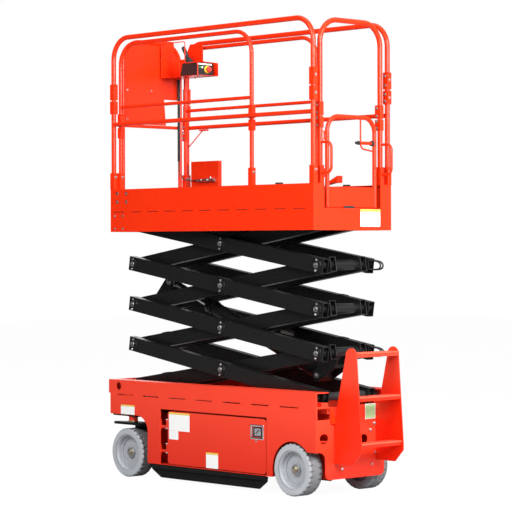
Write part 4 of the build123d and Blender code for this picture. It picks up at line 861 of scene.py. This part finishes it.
def tread(name, x_low, x_high, half_wide, height, body):
    """A thin plate with its bars, one way on odd places and mirrored on even ones."""
    edge = ((x_low, -half_wide), (x_high, -half_wide), (x_high, half_wide), (x_low, half_wide))
    sheet = lofted("sheet", [[(x, y, z) for x, y in edge] for z in (height, height + 0.0006)], tread_grey)
    pitch = 0.03
    across = int(2 * half_wide / pitch) - 1
    lengthways = int((x_high - x_low) / pitch) - 1
    even, odd = [], []
    for i in range(lengthways):
        for j in range(across):
            x, y, z = x_low + (i + 1) * pitch, (j - (across - 1) / 2) * pitch, height + 0.0012
            if (i + j) % 2:
                odd.append(((x, y, z), skyward))
            else:
                even.append(((-x, y, z), skyward))
    bars = grown("bars", bar_tree, odd, body, Finish=tread_grey)
    flipped = grown("bars", bar_tree, even, body, Finish=tread_grey)
    flipped.data.transform(Matrix.Scale(-1, 4, (1, 0, 0)))
    flipped.data.flip_normals()
    joined(name, [sheet, bars, flipped], body)


tread("extension_tread", mid_x - 0.468, mid_x + 1.125, 0.3655, 2.0845, "extension")
tread("platform_tread", mid_x - 1.127, mid_x - 0.4725, 0.3985, 2.078, "platform")

# ---- Skirt slots and rubber stops ----
# A row of narrow slots in each skirt shows the edge weld of the deck behind it; each is a flat dark red
# strip, painted shade for the recess. Rubber stops sit on the toe boards and under the gate.
# Painted shade: a dark red standing in for the shadow inside the slots.
slot_painted_shade = coated("shaded red coat", (0.3, 0.01, 0.003), (0.24, 0.008, 0.002), (0.5, 0.05, 0.02),
                  roughness=0.5)
slot_size, slot_pitch = (0.125, 0.0065, 0.003), 0.2018
for side, hand in ((1, "left"), (-1, "right")):
    slots = [pressed("slot", mid_x + 1.027 - slot_pitch * i, 2.0755, side, (
        (0.405, slot_size), (0.4053, slot_size)), slot_painted_shade) for i in range(11)]
    joined(f"skirt_slots_{hand}", slots, "platform")
stops = []
for x, y in ((mid_x - 0.765, 0.387), (mid_x - 0.695, -0.387)):
    stops.append(lofted("toe stop", [[(x + a, y + b, z) for a, b in rounded(*size)] for z, size in (
        (2.255, (0.056, 0.03, 0.004)), (2.264, (0.056, 0.03, 0.004)),
        (2.267, (0.05, 0.024, 0.004)))], rubber))
stops.append(lofted("gate stop", [[(x, 0.036 + a, 2.086 + b) for a, b in rounded(0.104, 0.018, 0.003)]
                                  for x in (mid_x - 1.1345, mid_x - 1.1295)], rubber))
joined("platform_stops", stops, "platform")

# ---- Extension lock and brace ----
# A cranked red lever at the far rear corner locks the sliding deck, and a thin diagonal rod with
# a gusset stiffens the far rail.
lever_y, brace_y = -0.352, -0.386
lever = [hose("shaft", [(mid_x - x, lever_y, z) for x, z in (
    (0.462, 2.15), (0.48, 2.235), (0.5, 2.262), (0.56, 2.276))], 0.007, platform_red),
         lofted("pedal", [[(mid_x - x, lever_y + a, z + b) for a, b in rounded(0.06, thick, 0.003)]
                          for x, z, thick in ((0.54, 2.274, 0.01), (0.59, 2.292, 0.026),
                                              (0.648, 2.306, 0.05), (0.656, 2.308, 0.054))], platform_red)]
joined("extension_lock", lever, "extension")
brace = [hose("rod", [(mid_x + x, brace_y, z) for x, z in (
    (1.1, 2.61), (1.059, 2.641), (0.945, 2.728), (0.93, 2.74))], 0.0045, platform_red),
         bar("gusset", (mid_x + 0.955, brace_y, 2.744), (mid_x + 0.868, brace_y, 2.744), left,
             skyward, 0.026, 0.012, platform_red)]
joined("rail_brace", brace, "platform")

# ---- Upper controls ----
# Black moulded box with a rubber-booted drive stick, a red mushroom stop button on its yellow
# collar, two small push buttons and a blank white strip.
signal_red = moulded("signal red plastic", (0.82, 0.06, 0.045), (0.74, 0.05, 0.036), 0.28, 800.0, 0.0002)
signal_yellow = moulded("signal yellow plastic", (0.85, 0.58, 0.03), (0.78, 0.52, 0.03), 0.35, 800.0, 0.0002)
signal_green = moulded("signal green plastic", (0.03, 0.34, 0.09), (0.025, 0.3, 0.08), 0.3, 800.0, 0.0002)
box_rear = mid_x + 0.67
stop_button = (box_rear, -0.205, 3.21)
panel = [
    turned("collar", stop_button, rearward, (
        (0.0, 0.03), (0.0015, 0.03), (0.0025, 0.029), (0.012, 0.0272), (0.013, 0.0262),
        (0.013, 0.015)), signal_yellow),
    turned("mushroom", stop_button, rearward, (
        (0.0122, 0.015), (0.0185, 0.015), (0.02, 0.0222), (0.024, 0.0232), (0.0295, 0.0222),
        (0.0335, 0.0196), (0.0349, 0.015), (0.0352, 0.006)), signal_red),
    lofted("strip", [[(box_rear + x, -0.182 + a, 3.2505 + b) for a, b in rounded(0.15, 0.012, 0.002)]
                     for x in (0.0002, -0.0006)], vinyl)]
push = ((0.0, 0.0095), (0.003, 0.0095), (0.0034, 0.0075), (0.007, 0.0072), (0.0076, 0.006))
for y, finish in ((-0.128, signal_green), (-0.152, nylon)):
    panel.append(turned("push", (box_rear, y, 3.224), rearward, push, finish, 24))
joined("box_controls", panel, "extension")
stick_foot = Vector((mid_x + 0.825, -0.165, 3.263))
stick_tip = Vector((mid_x + 0.912, -0.165, 3.402))
lean = (stick_tip - stick_foot).normalized()
circle = [Vector((cos(2 * pi * i / 32), sin(2 * pi * i / 32), 0)) for i in range(32)]
folds = ((0.0, 0.04), (0.008, 0.041), (0.014, 0.035), (0.021, 0.037), (0.028, 0.03), (0.036, 0.032),
         (0.043, 0.025), (0.051, 0.026), (0.058, 0.018), (0.066, 0.019), (0.072, 0.012))
stick = [lofted("boot", [[stick_foot + lean * along + spoke * wide for spoke in circle]
                         for along, wide in folds], rubber),
         turned("grip", stick_foot, lean, (
             (0.07, 0.01), (0.076, 0.015), (0.098, 0.0172), (0.122, 0.016), (0.142, 0.0175),
             (0.155, 0.0165), (0.1635, 0.012), (0.166, 0.006)), plastic_black, 32)]
joined("drive_stick", stick, "extension")
screws = [((mid_x + x, y, 3.158), (0, 0, -1)) for x in (0.69, 0.85) for y in (-0.24, -0.12)]
bolted("box_screws", screws, "extension", 0.005, 0.003, 0.008)
panel_screws = [((mid_x + 1.1045, y, z), rearward) for y, z in (
    (0.005, 3.054), (-0.276, 3.11), (0.255, 3.05), (0.255, 2.82), (-0.09, 2.82))]
bolted("panel_screws", panel_screws, "extension", 0.0055, 0.0035, 0.0085)

# ---- Control cable ----
# Ribs wrap the black conduit down the hoop. A silver connector with a coupling ring and a spare
# cap lies along the document box.
rib_tree, add, given = node_tree("Conduit ribs", [
    ("Ring Radius", "Float", 0.0105), ("Rib Radius", "Float", 0.0013), ("Finish", "Material", None)])
ring = add("CurvePrimitiveCircle", [("Radius", given["Ring Radius"])], Resolution=16)
section = add("CurvePrimitiveCircle", [("Radius", given["Rib Radius"])], Resolution=5)
rib = add("CurveToMesh", [("Curve", ring.outputs[0]), ("Profile Curve", section.outputs[0])])
scatter(rib_tree, add, given, rib.outputs[0], turn_any=False)
conduit_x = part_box("control_conduit")[1][0] - 0.01
rib_low, rib_high, rib_pitch = 2.497, 3.155, 0.0045
ribs = int((rib_high - rib_low) / rib_pitch)
spots = [((conduit_x, -0.268, rib_low + rib_pitch * i), skyward) for i in range(ribs)]
grown("conduit_ribs", rib_tree, spots, "extension", Finish=plastic_black)
plug_x, plug_y, plug_z = mid_x + 0.705, -0.314, 2.335
connector = [
    turned("body", (plug_x, plug_y, plug_z), (1, 0, 0), (
        (-0.004, 0.004), (-0.004, 0.0125), (0.0, 0.0135), (0.055, 0.0135), (0.056, 0.012), (0.07, 0.012),
        (0.071, 0.017), (0.112, 0.017), (0.113, 0.0122), (0.15, 0.0122), (0.151, 0.014), (0.195, 0.014),
        (0.205, 0.0118), (0.2105, 0.0118)), zinc),
    turned("spare cap", (plug_x + 0.045, plug_y, plug_z + 0.0145), (0.2, 0, 1), (
        (0, 0.009), (0.012, 0.009), (0.014, 0.0075)), zinc, 24),
    turned("gland", (plug_x + 0.2095, plug_y, plug_z), (1, 0, 0), (
        (0.0, 0.0095), (0.01, 0.009), (0.028, 0.0062), (0.03, 0.0046)), rubber)]
joined("connector", connector, "extension")

# ---- Gate spring ----
# Black plugs close both ends of the red tube that holds the latch spring, and the plunger ends
# in a small knob.
gate_x, spring_z = joint_at["gate_swing"][0], 2.556
plugs = [turned("plug", (gate_x, -0.072, spring_z), left, (
    (-0.016, 0.0125), (-0.016, 0.014), (0.004, 0.014), (0.006, 0.0125), (0.006, 0.006), (0.016, 0.006),
    (0.018, 0.0095), (0.024, 0.0085), (0.0255, 0.005)), rubber, 24),
         turned("plug", (gate_x, -0.218, spring_z), left, (
             (-0.014, 0.0125), (-0.014, 0.019), (0.008, 0.019), (0.01, 0.0172), (0.01, 0.0125)), rubber, 24)]
joined("gate_spring_plugs", plugs, "gate")

# ---- Weld beads ----
# Rippled fillet welds join the ladder's sides to the rear wall.
bead_tree, add, given = node_tree("Weld ripples", [
    ("Bead Radius", "Float", 0.0042), ("Finish", "Material", None)])
ripple = add("MeshIcoSphere", [("Radius", given["Bead Radius"])], Subdivisions=2)
flat = add("Transform", [("Geometry", ripple.outputs[0])], Scale=(1.0, 1.0, 0.62))
smooth = add("SetShadeSmooth", [("Geometry", flat.outputs[0])])
scatter(bead_tree, add, given, smooth.outputs[0], turn_any=False)
spots = [((rear_x - 0.001, side * y, 0.246 + 0.0036 * i), skyward)
         for side in (1, -1) for y in (0.2135, 0.2225) for i in range(72)]
grown("ladder_welds", bead_tree, spots, "chassis", Finish=ladder_red)
